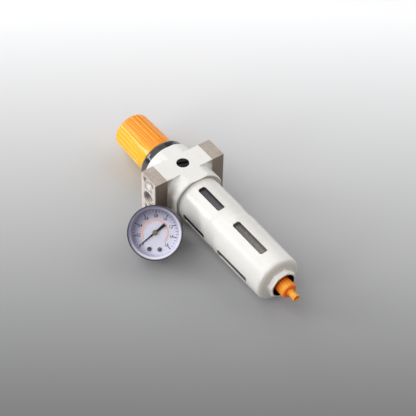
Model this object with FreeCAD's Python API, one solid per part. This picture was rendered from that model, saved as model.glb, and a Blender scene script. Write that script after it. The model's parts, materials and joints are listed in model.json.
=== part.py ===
import FreeCAD, Part
import math
import os

# A filter regulator for compressed air, lying on its back with the front face up.
# X runs from the inlet plate to the outlet plate, Y along the unit towards the knob,
# Z out of the front face. The back faces lie in the plane z = 0.

# Housing: a square block between two round collars that are cut flat front and back
body_width = 40.0
body_depth = 40.0
block_height = 18.6
collar_radius = 21.6
upper_collar_radius = 21.0
collar_top = 20.0
collar_bottom = -21.0
collar_rounding = 1.6
casting_rounding = 0.9
mouth_chamfer = 0.8

# Clearances between pieces that screw, slide or turn in each other
thread_gap = 0.05
slide_gap = 0.08
seat_gap = 0.05

# Connection plates with their ports, sealing rings and cap screws
plate_thickness = 10.5
plate_edge = 0.5
port_radius = 5.75
port_chamfer = 0.6
passage_radius = 4.5
plate_ring_radius = 8.0
plate_ring_section = 0.6
screw_spacing = 29.0
screw_radius = 2.45
screw_length = 15.5
screw_head_radius = 4.25
screw_head_height = 5.0
screw_head_sink = 0.3
screw_socket_flats = 4.0
screw_socket_depth = 2.6
counterbore_clearance = 0.35

# Pressure gauge ports, front and back; the front one is stepped for its plug
gauge_thread_radius = 4.35
gauge_port_depth = 8.0
gauge_mouth_radius = 4.85
gauge_mouth_depth = 2.6
gauge_channel_radius = 1.0

# Slotted blanking plug of the front port, with its sealing ring
plug_head_height = 1.2
plug_rise = 0.1
plug_length = 5.6
plug_slot_width = 1.9
plug_slot_depth = 1.7
plug_slot_turn = -21.0
plug_ring_section = 0.5

# Diaphragm chamber, valve seat and valve chamber inside the housing
diaphragm_seat = 6.0
chamber_radius = 11.0
chamber_floor = 2.0
seat_radius = 3.4
seat_level = -1.0
valve_chamber_radius = 6.0
boss_radius = 9.0
boss_end = -13.0
bowl_roof = -8.0
inlet_drop_x = -11.5
inlet_drop_radius = 2.2
outlet_rise_x = 8.2
outlet_rise_radius = 2.4
passage_end = 9.4

# Bonnet, the spring housing under the knob, and its ring nut
bonnet_thread_radius = 15.4
bonnet_bore = 10.6
bonnet_neck_radius = 12.4
bonnet_shoulder = 50.0
bonnet_crown = 6.0
bonnet_nose_radius = 8.0
guide_rib_width = 2.4
guide_rib_depth = 1.2
vent_radius = 0.8
vent_level = 32.0
panel_thread_radius = 17.9
ring_nut_radius = 19.3
ring_nut_height = 7.6
ring_nut_chamfer = 0.9

# Adjusting spindle, thrust washer, spring plate and range spring
journal_radius = 4.0
spindle_thread_radius = 4.9
spindle_pitch = 1.5
spindle_collar_radius = 6.5
spindle_collar_height = 1.5
spindle_foot = 29.5
spindle_hex_flats = 6.8
spindle_hex_height = 6.4
spindle_nose = 0.6
washer_thickness = 0.6
spring_plate_thickness = 3.0
spring_plate_level = 38.0
spring_plate_hub_radius = 6.2
spring_plate_hub = 3.0
range_wire_radius = 1.0
range_coil_radius = 7.4
range_coils = 6.0

# Diaphragm with its two discs, and the valve below it
diaphragm_thickness = 0.8
diaphragm_hole = 3.2
diaphragm_fold_radius = 0.6
diaphragm_fold_place = 9.4
upper_disc_radius = 8.3
upper_disc_thickness = 1.4
upper_disc_hub = 2.6
relief_disc_radius = 7.8
relief_disc_thickness = 1.0
relief_hole = 0.9
relief_stem_radius = 3.1
valve_lift = 1.2
valve_stem_radius = 1.1
valve_stem_tip = 4.35
valve_head_radius = 4.8
valve_head_height = 1.5
valve_seal_height = 1.2
valve_tail_radius = 2.0
valve_tail_end = -11.0
valve_wire_radius = 0.5
valve_coil_radius = 3.4
valve_coils = 2.5

# Filter: holder with its stud, deflector, element and baffle
holder_top = -8.5
holder_stud_radius = 2.4
holder_stud_end = -55.0
holder_hole_radius = 1.0
holder_hole_place = 4.2
holder_holes = 6
deflector_radius = 13.4
deflector_height = 2.6
deflector_bore = 6.3
deflector_slots = 12
element_radius = 9.8
element_bore = 6.6
element_length = 33.6
baffle_radius = 11.8
baffle_thickness = 1.6
baffle_skirt = 2.4
baffle_hub_radius = 4.2
baffle_hub_length = 6.5
baffle_fin_radius = 8.6
baffle_fin_thickness = 1.2

# Bowl and its sealing ring
bowl_radius = 15.9
bowl_wall = 2.1
bowl_neck_gap = 0.1
bowl_flange_radius = 18.0
bowl_flange_top = -11.1
bowl_flange_height = 1.9
bowl_straight_end = -104.0
bowl_end = -111.0
bowl_boss_radius = 4.6
bowl_shoulder_width = 4.0
bowl_boss_end = -120.5
bowl_ring_section = 0.52
bowl_ring_level = -9.7

# Bowl guard with sight slots and an octagonal end
guard_wall_bore = 16.3
guard_thread_radius = 18.5
guard_thread_end = -20.2
guard_neck_radius = 18.25
guard_neck_end = -51.5
guard_waist_radius = 17.85
guard_waist_top = -56.0
guard_waist_foot = -61.5
guard_shoulder = -65.5
guard_belly_radius = 18.35
guard_end_radius = 17.8
guard_end = -118.3
guard_end_rounding = 4.5
guard_floor = -114.5
guard_turn = 9.0
guard_octagon_flats = 20.8
guard_octagon_end = -122.9
guard_octagon_chamfer = 0.7
guard_hole_radius = 9.3
slot_width = 6.2
slot_corner = 1.8
slot_columns = 4
upper_slot_top = -27.0
upper_slot_length = 25.7
lower_slot_top = -69.0
lower_slot_length = 34.1

# Knob: a tapered cap with grooves between broad ribs
knob_base = 27.9
knob_rise = 12.7
knob_base_radius = 15.6
knob_top_radius = 14.8
knob_wall = 1.9
knob_edge = 1.6
knob_ribs = 24
knob_rib_phase = 6.0
knob_groove_radius = 0.95
knob_groove_depth = 0.62
knob_skirt = 5.2
knob_hub_radius = 6.3
knob_hub_gap = 1.2
knob_roof = 2.7
knob_run_out = 4.0

# Drain: a fluted knob on a hollow stem that ends in a hose nipple
drain_knob_radius = 6.1
drain_knob_top = -118.0
drain_knob_end = -130.0
drain_flutes = 16
drain_flute_radius = 0.6
drain_stem_radius = 2.7
drain_bore = 1.1
drain_head_radius = 4.3
drain_head_height = 1.8
drain_seal_height = 0.8
drain_floor = -108.8
drain_neck_radius = 2.35
nipple_length = 3.0
nipple_end = -137.5
drain_inlet_radius = 0.5

# Pressure gauge, laid loose beside the unit on its stem and the back of its case
gauge_stand_x = -33.5
gauge_stand_y = -16.4
gauge_turn = -38.0
gauge_stem_length = 15.0
gauge_stem_thread = 4.86
gauge_stem_thread_length = 9.0
gauge_stem_chamfer = 0.8
gauge_hex_flats = 12.0
gauge_case_radius = 19.2
gauge_case_depth = 24.0
gauge_case_wall = 1.0
gauge_back_rounding = 1.5
gauge_lip_radius = 19.8
gauge_lip_length = 5.0
gauge_lens_radius = 19.0
gauge_lens_thickness = 1.6
gauge_lens_rim = 1.7
gauge_lens_sink = 0.5
gauge_dial_radius = 17.7
gauge_dial_thickness = 0.6
gauge_dial_depth = 4.6
gauge_ring_wall = 0.8
dial_screw_x = 3.65
dial_screw_y = -11.8
dial_screw_head = 1.6
dial_screw_shank = 0.85

# Needle and movement of the gauge
needle_tip = 14.6
needle_tail = 9.0
needle_half_width = 0.7
needle_point_half_width = 0.2
needle_thickness = 0.35
needle_height = 0.9
needle_tail_half_width = 1.2
needle_hub_radius = 1.9
needle_hub_height = 0.7
needle_hub_chamfer = 0.25
needle_zero = 222.0
needle_sweep = 270.0
arbor_radius = 0.5
gear_module = 0.28
pinion_teeth = 12
wheel_teeth = 84
sector_spare_teeth = 2
gear_width = 1.0
movement_back = 11.2
movement_front = 16.0
movement_plate = 1.0
movement_half_width = 6.4
movement_high = 5.0
movement_low = -16.2
pillar_radius = 0.9
tube_radius = 13.4
tube_half_thickness = 1.0
tube_half_height = 2.4
tube_lift = 1.5
tube_clamp = 1.0
tube_start = 278.0
tube_angle = 257.0
stem_block = 9.0
stem_arm_half = 3.0

# Places that follow from the sizes above
axis_z = body_depth / 2
plate_face = body_width / 2 + plate_thickness
block_top = block_height / 2
bonnet_foot = diaphragm_seat + diaphragm_thickness
bonnet_top = bonnet_shoulder + bonnet_crown
knob_top = bonnet_top + knob_rise
knob_hub_level = bonnet_top + knob_hub_gap
knob_ceiling = knob_top - knob_roof
spindle_hex_foot = bonnet_top + spindle_nose
ring_nut_top = collar_top + ring_nut_height
spindle_collar_top = bonnet_shoulder - washer_thickness - 2 * seat_gap
spindle_collar_foot = spindle_collar_top - spindle_collar_height
upper_disc_top = bonnet_foot + upper_disc_thickness
relief_disc_foot = diaphragm_seat - relief_disc_thickness
valve_head_top = seat_level - seat_gap
valve_head_foot = valve_head_top - valve_seal_height - valve_head_height
deflector_top = boss_end - seat_gap
element_top = deflector_top - deflector_height
element_end = element_top - element_length
baffle_foot = element_end - baffle_thickness
bowl_bore = bowl_radius - bowl_wall
bowl_flange_foot = bowl_flange_top - bowl_flange_height
guard_top = bowl_flange_foot - seat_gap
cavity_roof = bowl_flange_top + seat_gap
gauge_back = gauge_stem_length
gauge_front = gauge_stem_length + gauge_case_depth
dial_front = gauge_front - gauge_dial_depth
dial_back = dial_front - gauge_dial_thickness
movement_level = gauge_back + movement_back
movement_top = gauge_back + movement_front
sector_travel_teeth = round(needle_sweep / 360 * pinion_teeth)
pinion_radius = gear_module * pinion_teeth / 2
wheel_radius = gear_module * wheel_teeth / 2
sector_pivot = -(pinion_radius + wheel_radius)
gear_level = (movement_level + movement_plate + movement_top) / 2


def point(x, y, z):
    return FreeCAD.Vector(x, y, z)


def box(x0, x1, y0, y1, z0, z1):
    return Part.makeBox(x1 - x0, y1 - y0, z1 - z0, point(x0, y0, z0))


# Cylinders along the three axes; the first two lie on the unit's own axis unless told otherwise
def rod_y(radius, y0, y1, x=0.0, z=None):
    level = axis_z if z is None else z
    return Part.makeCylinder(radius, y1 - y0, point(x, y0, level), point(0, 1, 0))


def rod_x(radius, x0, x1, y=0.0, z=None):
    level = axis_z if z is None else z
    return Part.makeCylinder(radius, x1 - x0, point(x0, y, level), point(1, 0, 0))


def rod_z(radius, z0, z1, x=0.0, y=0.0):
    return Part.makeCylinder(radius, z1 - z0, point(x, y, z0), point(0, 0, 1))


# A closed outline; a step of two numbers is a straight line, one of four an arc through its first point
def outline_face(outline, place):
    edges = []
    here = place(*outline[0])
    for step in outline[1:] + [outline[0]]:
        there = place(*step[-2:])
        if len(step) == 4:
            edges.append(Part.Arc(here, place(*step[:2]), there).toShape())
        else:
            edges.append(Part.LineSegment(here, there).toShape())
        here = there
    return Part.Face(Part.Wire(edges))


# A solid turned about the unit's axis from (radius, y) steps
def turned(outline):
    face = outline_face(outline, lambda radius, y: point(radius, y, axis_z))
    return face.revolve(point(0, 0, axis_z), point(0, 1, 0), 360)


# A solid turned about Z from (radius, z) steps
def spun(outline):
    face = outline_face(outline, lambda radius, z: point(radius, 0, z))
    return face.revolve(point(0, 0, 0), point(0, 0, 1), 360)


# The middle point of a rounded corner of the given size, from its centre
def corner(centre_a, centre_b, size, sign_a, sign_b):
    reach = size * math.sqrt(0.5)
    return centre_a + sign_a * reach, centre_b + sign_b * reach


def prism(flats, sides, low, high, turn=0.0):
    corner_radius = flats / 2 / math.cos(math.pi / sides)
    corners = []
    for number in range(sides + 1):
        angle = math.radians(turn + 360.0 / sides * (number + 0.5))
        corners.append(point(corner_radius * math.cos(angle), corner_radius * math.sin(angle), low))
    return Part.Face(Part.makePolygon(corners)).extrude(point(0, 0, high - low))


# The same prism laid along the unit's axis
def prism_y(flats, sides, low, high, turn=0.0):
    shape = prism(flats, sides, -high, -low, turn)
    shape.rotate(point(0, 0, 0), point(1, 0, 0), 90)
    shape.translate(point(0, 0, axis_z))
    return shape


# Turned about the unit's axis, from the front towards the inlet side
def swung(shape, angle):
    turned_shape = shape.copy()
    turned_shape.rotate(point(0, 0, axis_z), point(0, 1, 0), -angle)
    return turned_shape


def tilted_z(shape, angle):
    turned_shape = shape.copy()
    turned_shape.rotate(point(0, 0, 0), point(0, 0, 1), angle)
    return turned_shape


def mirrored_x(shape):
    return shape.mirror(point(0, 0, 0), point(1, 0, 0))


def ring_y(radius, section, y):
    return Part.makeTorus(radius, section, point(0, y, axis_z), point(0, 1, 0))


# A compression spring about the unit's axis with closed ground ends
def coil_spring(coil_radius, wire_radius, low, high, coils):
    end = wire_radius
    pitch = (high - low - 2 * end) / coils
    helix = Part.makeHelix(pitch, high - low - 2 * end, coil_radius)
    start = point(coil_radius, 0, 0)
    lead = point(0, coil_radius, pitch / (2 * math.pi))
    section = Part.Wire([Part.makeCircle(wire_radius, start, lead)])
    spring = Part.Wire(helix).makePipeShell([section], True, True)
    spring.rotate(point(0, 0, 0), point(1, 0, 0), -90)
    spring.translate(point(0, low + end, axis_z))
    return spring


def housing_form():
    half_width = body_width / 2
    block = box(-half_width, half_width, -block_top, block_top, 0, body_depth)
    lower = collar_bottom + collar_rounding
    upper = collar_top - casting_rounding
    collar = turned([
        (0, collar_bottom),
        (collar_radius - collar_rounding, collar_bottom),
        (*corner(collar_radius - collar_rounding, lower, collar_rounding, 1, -1), collar_radius, lower),
        (collar_radius, 0),
        (upper_collar_radius, 0),
        (upper_collar_radius, upper),
        (*corner(upper_collar_radius - casting_rounding, upper, casting_rounding, 1, 1),
         upper_collar_radius - casting_rounding, collar_top),
        (0, collar_top),
    ])
    slab = box(-half_width, half_width, collar_bottom, collar_top, 0, body_depth)
    return block.fuse(collar.common(slab)).removeSplitter()


# The front and back ports share one tool, pointing into the body from the face z = 0
def gauge_port():
    thread = rod_z(gauge_thread_radius, 0, gauge_port_depth)
    channel_y = chamber_floor + gauge_channel_radius + 0.2
    channel = rod_z(gauge_channel_radius, gauge_port_depth - 1, axis_z - chamber_radius + 1, 0, channel_y)
    return thread.fuse(channel)


def to_front(shape):
    return shape.mirror(point(0, 0, axis_z), point(0, 0, 1))


def housing():
    body = housing_form()
    bore = bonnet_thread_radius + thread_gap
    guard_bore = guard_thread_radius + thread_gap
    neck_bore = bowl_radius + bowl_neck_gap
    spaces = turned([
        (0, collar_top),
        (bore, collar_top),
        (bore, diaphragm_seat),
        (chamber_radius, diaphragm_seat),
        (chamber_radius, chamber_floor),
        (seat_radius, chamber_floor),
        (seat_radius, seat_level),
        (valve_chamber_radius, seat_level),
        (valve_chamber_radius, boss_end),
        (0, boss_end),
    ])
    cavity = turned([
        (boss_radius, bowl_roof),
        (neck_bore, bowl_roof),
        (neck_bore, cavity_roof),
        (guard_bore, cavity_roof),
        (guard_bore, collar_bottom + mouth_chamfer),
        (guard_bore + mouth_chamfer, collar_bottom),
        (0, collar_bottom),
        (0, boss_end),
        (boss_radius, boss_end),
    ])
    inlet = rod_x(passage_radius, -body_width / 2, -passage_end)
    outlet = rod_x(passage_radius, passage_end, body_width / 2)
    inlet_drop = rod_y(inlet_drop_radius, bowl_roof, 0, inlet_drop_x)
    outlet_rise = rod_y(outlet_rise_radius, 0, chamber_floor, outlet_rise_x)
    outlet_floor = rod_x(outlet_rise_radius, outlet_rise_x, passage_end + 1)
    tools = [cavity, inlet, outlet, inlet_drop, outlet_rise, outlet_floor]
    front_mouth = rod_z(gauge_mouth_radius, body_depth - gauge_mouth_depth, body_depth)
    tools += [gauge_port(), to_front(gauge_port()), front_mouth]
    depth = screw_length - screw_seat_length() + 1.0
    for z in (axis_z - screw_spacing / 2, axis_z + screw_spacing / 2):
        hole = rod_x(screw_radius + thread_gap, body_width / 2 - depth, body_width / 2, 0, z)
        tools += [hole, mirrored_x(hole)]
    return body.cut(spaces.fuse(tools))


# Length of plate between a screw head's seat and the housing
def screw_seat_length():
    return plate_thickness - screw_head_sink - screw_head_height


def right_plate():
    inner = body_width / 2
    plate = box(inner, plate_face, -block_top, block_top, 0, body_depth)
    outer_edges = [edge for edge in plate.Edges if edge.BoundBox.XMin > plate_face - 0.01]
    plate = plate.makeChamfer(plate_edge, outer_edges)
    mouth = Part.makeCone(port_radius, port_radius + port_chamfer, port_chamfer,
                          point(plate_face - port_chamfer, 0, axis_z), point(1, 0, 0))
    groove_out = rod_x(plate_ring_radius + plate_ring_section, inner, inner + 2 * plate_ring_section)
    groove_in = rod_x(plate_ring_radius - plate_ring_section, inner, inner + 2 * plate_ring_section)
    tools = [mouth, groove_out.cut(groove_in), rod_x(port_radius, inner, plate_face)]
    seat = plate_face - screw_head_sink - screw_head_height
    for z in (axis_z - screw_spacing / 2, axis_z + screw_spacing / 2):
        tools.append(rod_x(screw_head_radius + counterbore_clearance, seat, plate_face, 0, z))
        tools.append(rod_x(screw_radius + 0.15, inner, seat, 0, z))
    return plate.cut(tools[0].fuse(tools[1:]))


def right_screws():
    screws = []
    seat = plate_face - screw_head_sink - screw_head_height
    for z in (axis_z - screw_spacing / 2, axis_z + screw_spacing / 2):
        head = rod_x(screw_head_radius, seat, seat + screw_head_height, 0, z)
        rim = [edge for edge in head.Edges if edge.BoundBox.XMin > seat + screw_head_height - 0.01]
        head = head.makeChamfer(0.4, rim)
        shank = rod_x(screw_radius, seat - screw_length, seat, 0, z)
        socket = prism(screw_socket_flats, 6, 0, screw_socket_depth)
        socket.rotate(point(0, 0, 0), point(0, 1, 0), 90)
        socket.translate(point(seat + screw_head_height - screw_socket_depth, 0, z))
        screws.append(head.fuse(shank).cut(socket))
    return screws


def right_plate_ring():
    centre = point(body_width / 2 + plate_ring_section, 0, axis_z)
    return Part.makeTorus(plate_ring_radius, plate_ring_section, centre, point(1, 0, 0))


def front_plug():
    top = body_depth + plug_rise
    under_head = top - plug_head_height
    groove = under_head - 2 * plug_ring_section - seat_gap
    foot = top - plug_length
    head_radius = gauge_mouth_radius - 2 * seat_gap
    thread_radius = gauge_thread_radius - thread_gap
    ring_bed = gauge_mouth_radius - seat_gap - 2 * plug_ring_section
    plug = spun([
        (0, foot),
        (thread_radius - 0.5, foot),
        (thread_radius, foot + 0.5),
        (thread_radius, groove),
        (ring_bed, groove),
        (ring_bed, under_head),
        (head_radius, under_head),
        (head_radius, top - 0.35),
        (head_radius - 0.35, top),
        (0, top),
    ])
    half = plug_slot_width / 2
    slot = box(-head_radius, head_radius, -half, half, top - plug_slot_depth, top)
    return plug.cut(tilted_z(slot, plug_slot_turn))


def front_plug_ring():
    level = body_depth + plug_rise - plug_head_height - plug_ring_section
    radius = gauge_mouth_radius - seat_gap - plug_ring_section
    return Part.makeTorus(radius, plug_ring_section, point(0, 0, level), point(0, 0, 1))


def bonnet():
    nose = bonnet_top - 3.0
    crown = bonnet_top - bonnet_shoulder
    shell = turned([
        (bonnet_bore, bonnet_foot),
        (bonnet_thread_radius, bonnet_foot),
        (bonnet_thread_radius, collar_top),
        (panel_thread_radius, collar_top),
        (panel_thread_radius, ring_nut_top - 0.8),
        (panel_thread_radius - 0.6, ring_nut_top - 0.2),
        (bonnet_neck_radius, ring_nut_top - 0.2),
        (bonnet_neck_radius, nose),
        (bonnet_nose_radius, bonnet_top),
        (journal_radius + slide_gap, bonnet_top),
        (journal_radius + slide_gap, bonnet_top - crown),
        (bonnet_bore, bonnet_shoulder),
    ])
    rib_inner = bonnet_bore - guide_rib_depth
    rib_foot = spring_plate_level - spindle_pitch * spring_turns() - 1.0
    half = guide_rib_width / 2
    rib = box(-bonnet_bore - 0.5, -rib_inner, rib_foot, bonnet_shoulder, axis_z - half, axis_z + half)
    shell = shell.fuse([rib, mirrored_x(rib)])
    vent = rod_x(vent_radius, bonnet_bore - 1, bonnet_neck_radius + 1, vent_level)
    return shell.cut(vent).removeSplitter()


# Turns of the spindle between a slack spring and a fully set one
def spring_turns():
    return 5.0


def ring_nut():
    bore = panel_thread_radius + thread_gap
    foot = collar_top + seat_gap
    return turned([
        (bore, foot),
        (ring_nut_radius - 0.3, foot),
        (ring_nut_radius, foot + 0.3),
        (ring_nut_radius, ring_nut_top - ring_nut_chamfer),
        (ring_nut_radius - ring_nut_chamfer, ring_nut_top),
        (bore + 0.3, ring_nut_top),
        (bore, ring_nut_top - 0.3),
    ])


def spindle():
    foot = rod_y(spindle_thread_radius, spindle_foot, spindle_collar_foot)
    collar = rod_y(spindle_collar_radius, spindle_collar_foot, spindle_collar_top)
    journal = rod_y(journal_radius, spindle_collar_top, spindle_hex_foot)
    hexagon = prism_y(spindle_hex_flats, 6, spindle_hex_foot, spindle_hex_foot + spindle_hex_height)
    return foot.fuse([collar, journal, hexagon])


def thrust_washer():
    low = spindle_collar_top + seat_gap
    ring = rod_y(spindle_collar_radius, low, low + washer_thickness)
    return ring.cut(rod_y(journal_radius + slide_gap, low, low + washer_thickness))


def spring_plate():
    radius = bonnet_bore - slide_gap - 0.1
    top = spring_plate_level + spring_plate_thickness
    foot = spring_plate_level - spring_plate_hub
    plate = turned([
        (spindle_thread_radius + thread_gap, foot),
        (spring_plate_hub_radius, foot),
        (spring_plate_hub_radius, spring_plate_level),
        (radius, spring_plate_level),
        (radius, top),
        (spindle_thread_radius + thread_gap, top),
    ])
    half = guide_rib_width / 2 + slide_gap
    notch_inner = bonnet_bore - guide_rib_depth - 2 * slide_gap
    notch = box(notch_inner, bonnet_bore, spring_plate_level, top, axis_z - half, axis_z + half)
    return plate.cut(notch.fuse(mirrored_x(notch)))


def range_spring():
    return coil_spring(range_coil_radius, range_wire_radius, upper_disc_top, spring_plate_level,
                       range_coils)


def diaphragm():
    low = diaphragm_seat
    high = diaphragm_seat + diaphragm_thickness
    inner = diaphragm_fold_place - diaphragm_fold_radius
    outer = diaphragm_fold_place + diaphragm_fold_radius
    wall = diaphragm_thickness / 2
    crown = diaphragm_fold_radius + wall
    hollow = diaphragm_fold_radius - wall
    return turned([
        (diaphragm_hole, low),
        (inner + wall, low),
        (diaphragm_fold_place, low + hollow, outer - wall, low),
        (bonnet_thread_radius - 0.1, low),
        (bonnet_thread_radius - 0.1, high),
        (outer + wall, high),
        (diaphragm_fold_place, low + crown + wall, inner - wall, high),
        (diaphragm_hole, high),
    ])


def diaphragm_disc():
    hub_top = upper_disc_top + upper_disc_hub
    hub_radius = range_coil_radius - range_wire_radius - 0.3
    hole = relief_stem_radius + 0.02
    return turned([
        (hole, bonnet_foot + 0.01),
        (upper_disc_radius - 0.4, bonnet_foot + 0.01),
        (upper_disc_radius, bonnet_foot + 0.4),
        (upper_disc_radius, upper_disc_top),
        (hub_radius, upper_disc_top),
        (hub_radius, hub_top - 0.6),
        (hub_radius - 0.6, hub_top),
        (hole, hub_top),
    ])


def relief_disc():
    top = upper_disc_top + upper_disc_hub + 0.4
    return turned([
        (relief_hole, relief_disc_foot),
        (relief_disc_radius, relief_disc_foot),
        (relief_disc_radius, diaphragm_seat - 0.01),
        (relief_stem_radius, diaphragm_seat - 0.01),
        (relief_stem_radius, top),
        (relief_hole, top),
    ])


def valve():
    head_top = valve_head_top - valve_seal_height
    return turned([
        (0, valve_tail_end),
        (valve_tail_radius - 0.3, valve_tail_end),
        (valve_tail_radius, valve_tail_end + 0.3),
        (valve_tail_radius, valve_head_foot),
        (valve_head_radius, valve_head_foot),
        (valve_head_radius, head_top),
        (valve_stem_radius, head_top),
        (valve_stem_radius, valve_stem_tip),
        (valve_stem_radius / 2, relief_disc_foot - seat_gap),
        (0, relief_disc_foot - seat_gap),
    ])


def valve_seal():
    low = valve_head_top - valve_seal_height
    ring = rod_y(valve_head_radius, low, valve_head_top)
    return ring.cut(rod_y(valve_stem_radius, low, valve_head_top))


def valve_spring():
    return coil_spring(valve_coil_radius, valve_wire_radius, holder_top, valve_head_foot, valve_coils)


def filter_holder():
    sleeve_radius = valve_chamber_radius - thread_gap
    sleeve = rod_y(sleeve_radius, boss_end - 1.0, holder_top)
    stud = rod_y(holder_stud_radius, holder_stud_end, boss_end - 1.0)
    flange_foot = boss_end - 1.0
    guide_depth = valve_tail_end - valve_lift - 0.8
    tools = [rod_y(valve_tail_radius + slide_gap, guide_depth, holder_top)]
    for number in range(holder_holes):
        hole = rod_y(holder_hole_radius, flange_foot, holder_top, holder_hole_place)
        tools.append(swung(hole, 360.0 / holder_holes * number))
    return sleeve.fuse(stud).cut(tools[0].fuse(tools[1:]))


def deflector():
    foot = deflector_top - deflector_height
    disc = turned([
        (deflector_bore, foot),
        (deflector_radius - 1.2, foot),
        (deflector_radius, foot + 0.8),
        (deflector_radius, deflector_top),
        (deflector_bore, deflector_top),
    ])
    slots = []
    for number in range(deflector_slots):
        slot = box(element_radius, deflector_radius + 1, foot - 2, deflector_top + 2,
                   axis_z - 0.7, axis_z + 0.7)
        middle = point(deflector_radius, (foot + deflector_top) / 2, axis_z)
        slot.rotate(middle, point(1, 0, 0), 35)
        slots.append(swung(slot, 360.0 / deflector_slots * number))
    return disc.cut(slots[0].fuse(slots[1:]))


def filter_element():
    body = rod_y(element_radius, element_end, element_top)
    return body.cut(rod_y(element_bore, element_end, element_top))


def baffle():
    rim = baffle_foot - baffle_skirt
    hub_end = element_end - baffle_hub_length
    cap = turned([
        (0, element_end),
        (element_radius, element_end),
        (baffle_radius, baffle_foot),
        (baffle_radius, rim),
        (baffle_radius - 1.0, rim),
        (baffle_radius - 1.2, baffle_foot),
        (baffle_hub_radius, baffle_foot),
        (baffle_hub_radius, hub_end),
        (0, hub_end),
    ])
    fin_half = baffle_fin_thickness / 2
    fin = box(-baffle_fin_radius, baffle_fin_radius, hub_end - 1.5, baffle_foot,
              axis_z - fin_half, axis_z + fin_half)
    cap = cap.fuse([fin, swung(fin, 90)]).removeSplitter()
    return cap.cut(rod_y(holder_stud_radius + thread_gap, holder_stud_end - 0.5, element_end))


def bowl():
    neck_top = bowl_roof - 0.4
    dome = bowl_straight_end - bowl_end
    inner_end = bowl_end + bowl_wall
    bore_stem = drain_stem_radius + slide_gap
    ring_half = bowl_ring_section + 0.05
    ring_bed = bowl_radius - 2 * bowl_ring_section + bowl_neck_gap - 0.02
    shoulder = bowl_boss_radius + bowl_shoulder_width
    middle = (bowl_radius + shoulder) / 2
    return turned([
        (bowl_bore, neck_top),
        (bowl_radius, neck_top),
        (bowl_radius, bowl_ring_level + ring_half),
        (ring_bed, bowl_ring_level + ring_half),
        (ring_bed, bowl_ring_level - ring_half),
        (bowl_radius, bowl_ring_level - ring_half),
        (bowl_radius, bowl_flange_top),
        (bowl_flange_radius, bowl_flange_top),
        (bowl_flange_radius, bowl_flange_foot),
        (bowl_radius, bowl_flange_foot),
        (bowl_radius, bowl_straight_end),
        (middle + 1.6, bowl_straight_end - dome * 0.78, shoulder, bowl_end),
        (bowl_boss_radius, bowl_end),
        (bowl_boss_radius, bowl_boss_end + 0.4),
        (bowl_boss_radius - 0.4, bowl_boss_end),
        (bore_stem, bowl_boss_end),
        (bore_stem, drain_floor),
        (shoulder - 1.0, drain_floor),
        (middle + 0.6, inner_end + dome * 0.30, bowl_bore, bowl_straight_end),
    ])


def bowl_ring():
    radius = bowl_radius + bowl_neck_gap - bowl_ring_section - 0.02
    return ring_y(radius, bowl_ring_section, bowl_ring_level)


def slot_tool(top, length):
    half = slot_width / 2
    slot = box(-half, half, top - length, top, axis_z + bowl_bore, axis_z + 1.3 * guard_belly_radius)
    upright = [edge for edge in slot.Edges if edge.BoundBox.ZLength > 1]
    return slot.makeFillet(slot_corner, upright)


def guard():
    bend = guard_end + guard_end_rounding
    rim = guard_end_radius - guard_end_rounding
    inner_bend = 2.0
    boss_foot = guard_end - 0.7
    boss_reach = guard_octagon_flats / 2 / math.cos(math.pi / 8)
    middle_level = (guard_waist_foot + guard_shoulder) / 2
    middle_radius = (guard_waist_radius + guard_belly_radius) / 2
    soft = (guard_belly_radius - guard_waist_radius) / 4
    quarter = (guard_waist_foot - guard_shoulder) / 4
    shell = turned([
        (guard_wall_bore, guard_top),
        (guard_thread_radius - 0.4, guard_top),
        (guard_thread_radius, guard_top - 0.4),
        (guard_thread_radius, guard_thread_end),
        (guard_neck_radius, guard_thread_end - 0.4),
        (guard_neck_radius, guard_neck_end),
        (guard_waist_radius, guard_waist_top),
        (guard_waist_radius, guard_waist_foot),
        (guard_waist_radius + soft * 0.6, guard_waist_foot - quarter, middle_radius, middle_level),
        (guard_belly_radius - soft * 0.6, guard_shoulder + quarter, guard_belly_radius, guard_shoulder),
        (guard_end_radius, bend),
        (*corner(rim, bend, guard_end_rounding, 1, -1), rim, guard_end),
        (boss_reach, boss_foot),
        (0, boss_foot),
        (0, guard_floor),
        (guard_wall_bore - inner_bend, guard_floor),
        (*corner(guard_wall_bore - inner_bend, guard_floor + inner_bend, inner_bend, 1, -1),
         guard_wall_bore, guard_floor + inner_bend),
    ])
    boss = prism_y(guard_octagon_flats, 8, guard_octagon_end, boss_foot + 0.5)
    face = [edge for edge in boss.Edges if edge.BoundBox.YMax < guard_octagon_end + 0.01]
    boss = boss.makeChamfer(guard_octagon_chamfer, face)
    shell = shell.fuse(boss)
    tools = [rod_y(guard_hole_radius, guard_octagon_end, guard_floor)]
    for column in range(slot_columns):
        angle = 360.0 / slot_columns * column
        tools.append(swung(slot_tool(upper_slot_top, upper_slot_length), angle))
        tools.append(swung(slot_tool(lower_slot_top, lower_slot_length), angle))
    return swung(shell.cut(tools[0].fuse(tools[1:])), guard_turn)


# Radius of the knob's outer surface at a level
def knob_radius(y):
    share = (y - knob_base) / (knob_top - knob_base)
    return knob_base_radius + (knob_top_radius - knob_base_radius) * share


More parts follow.
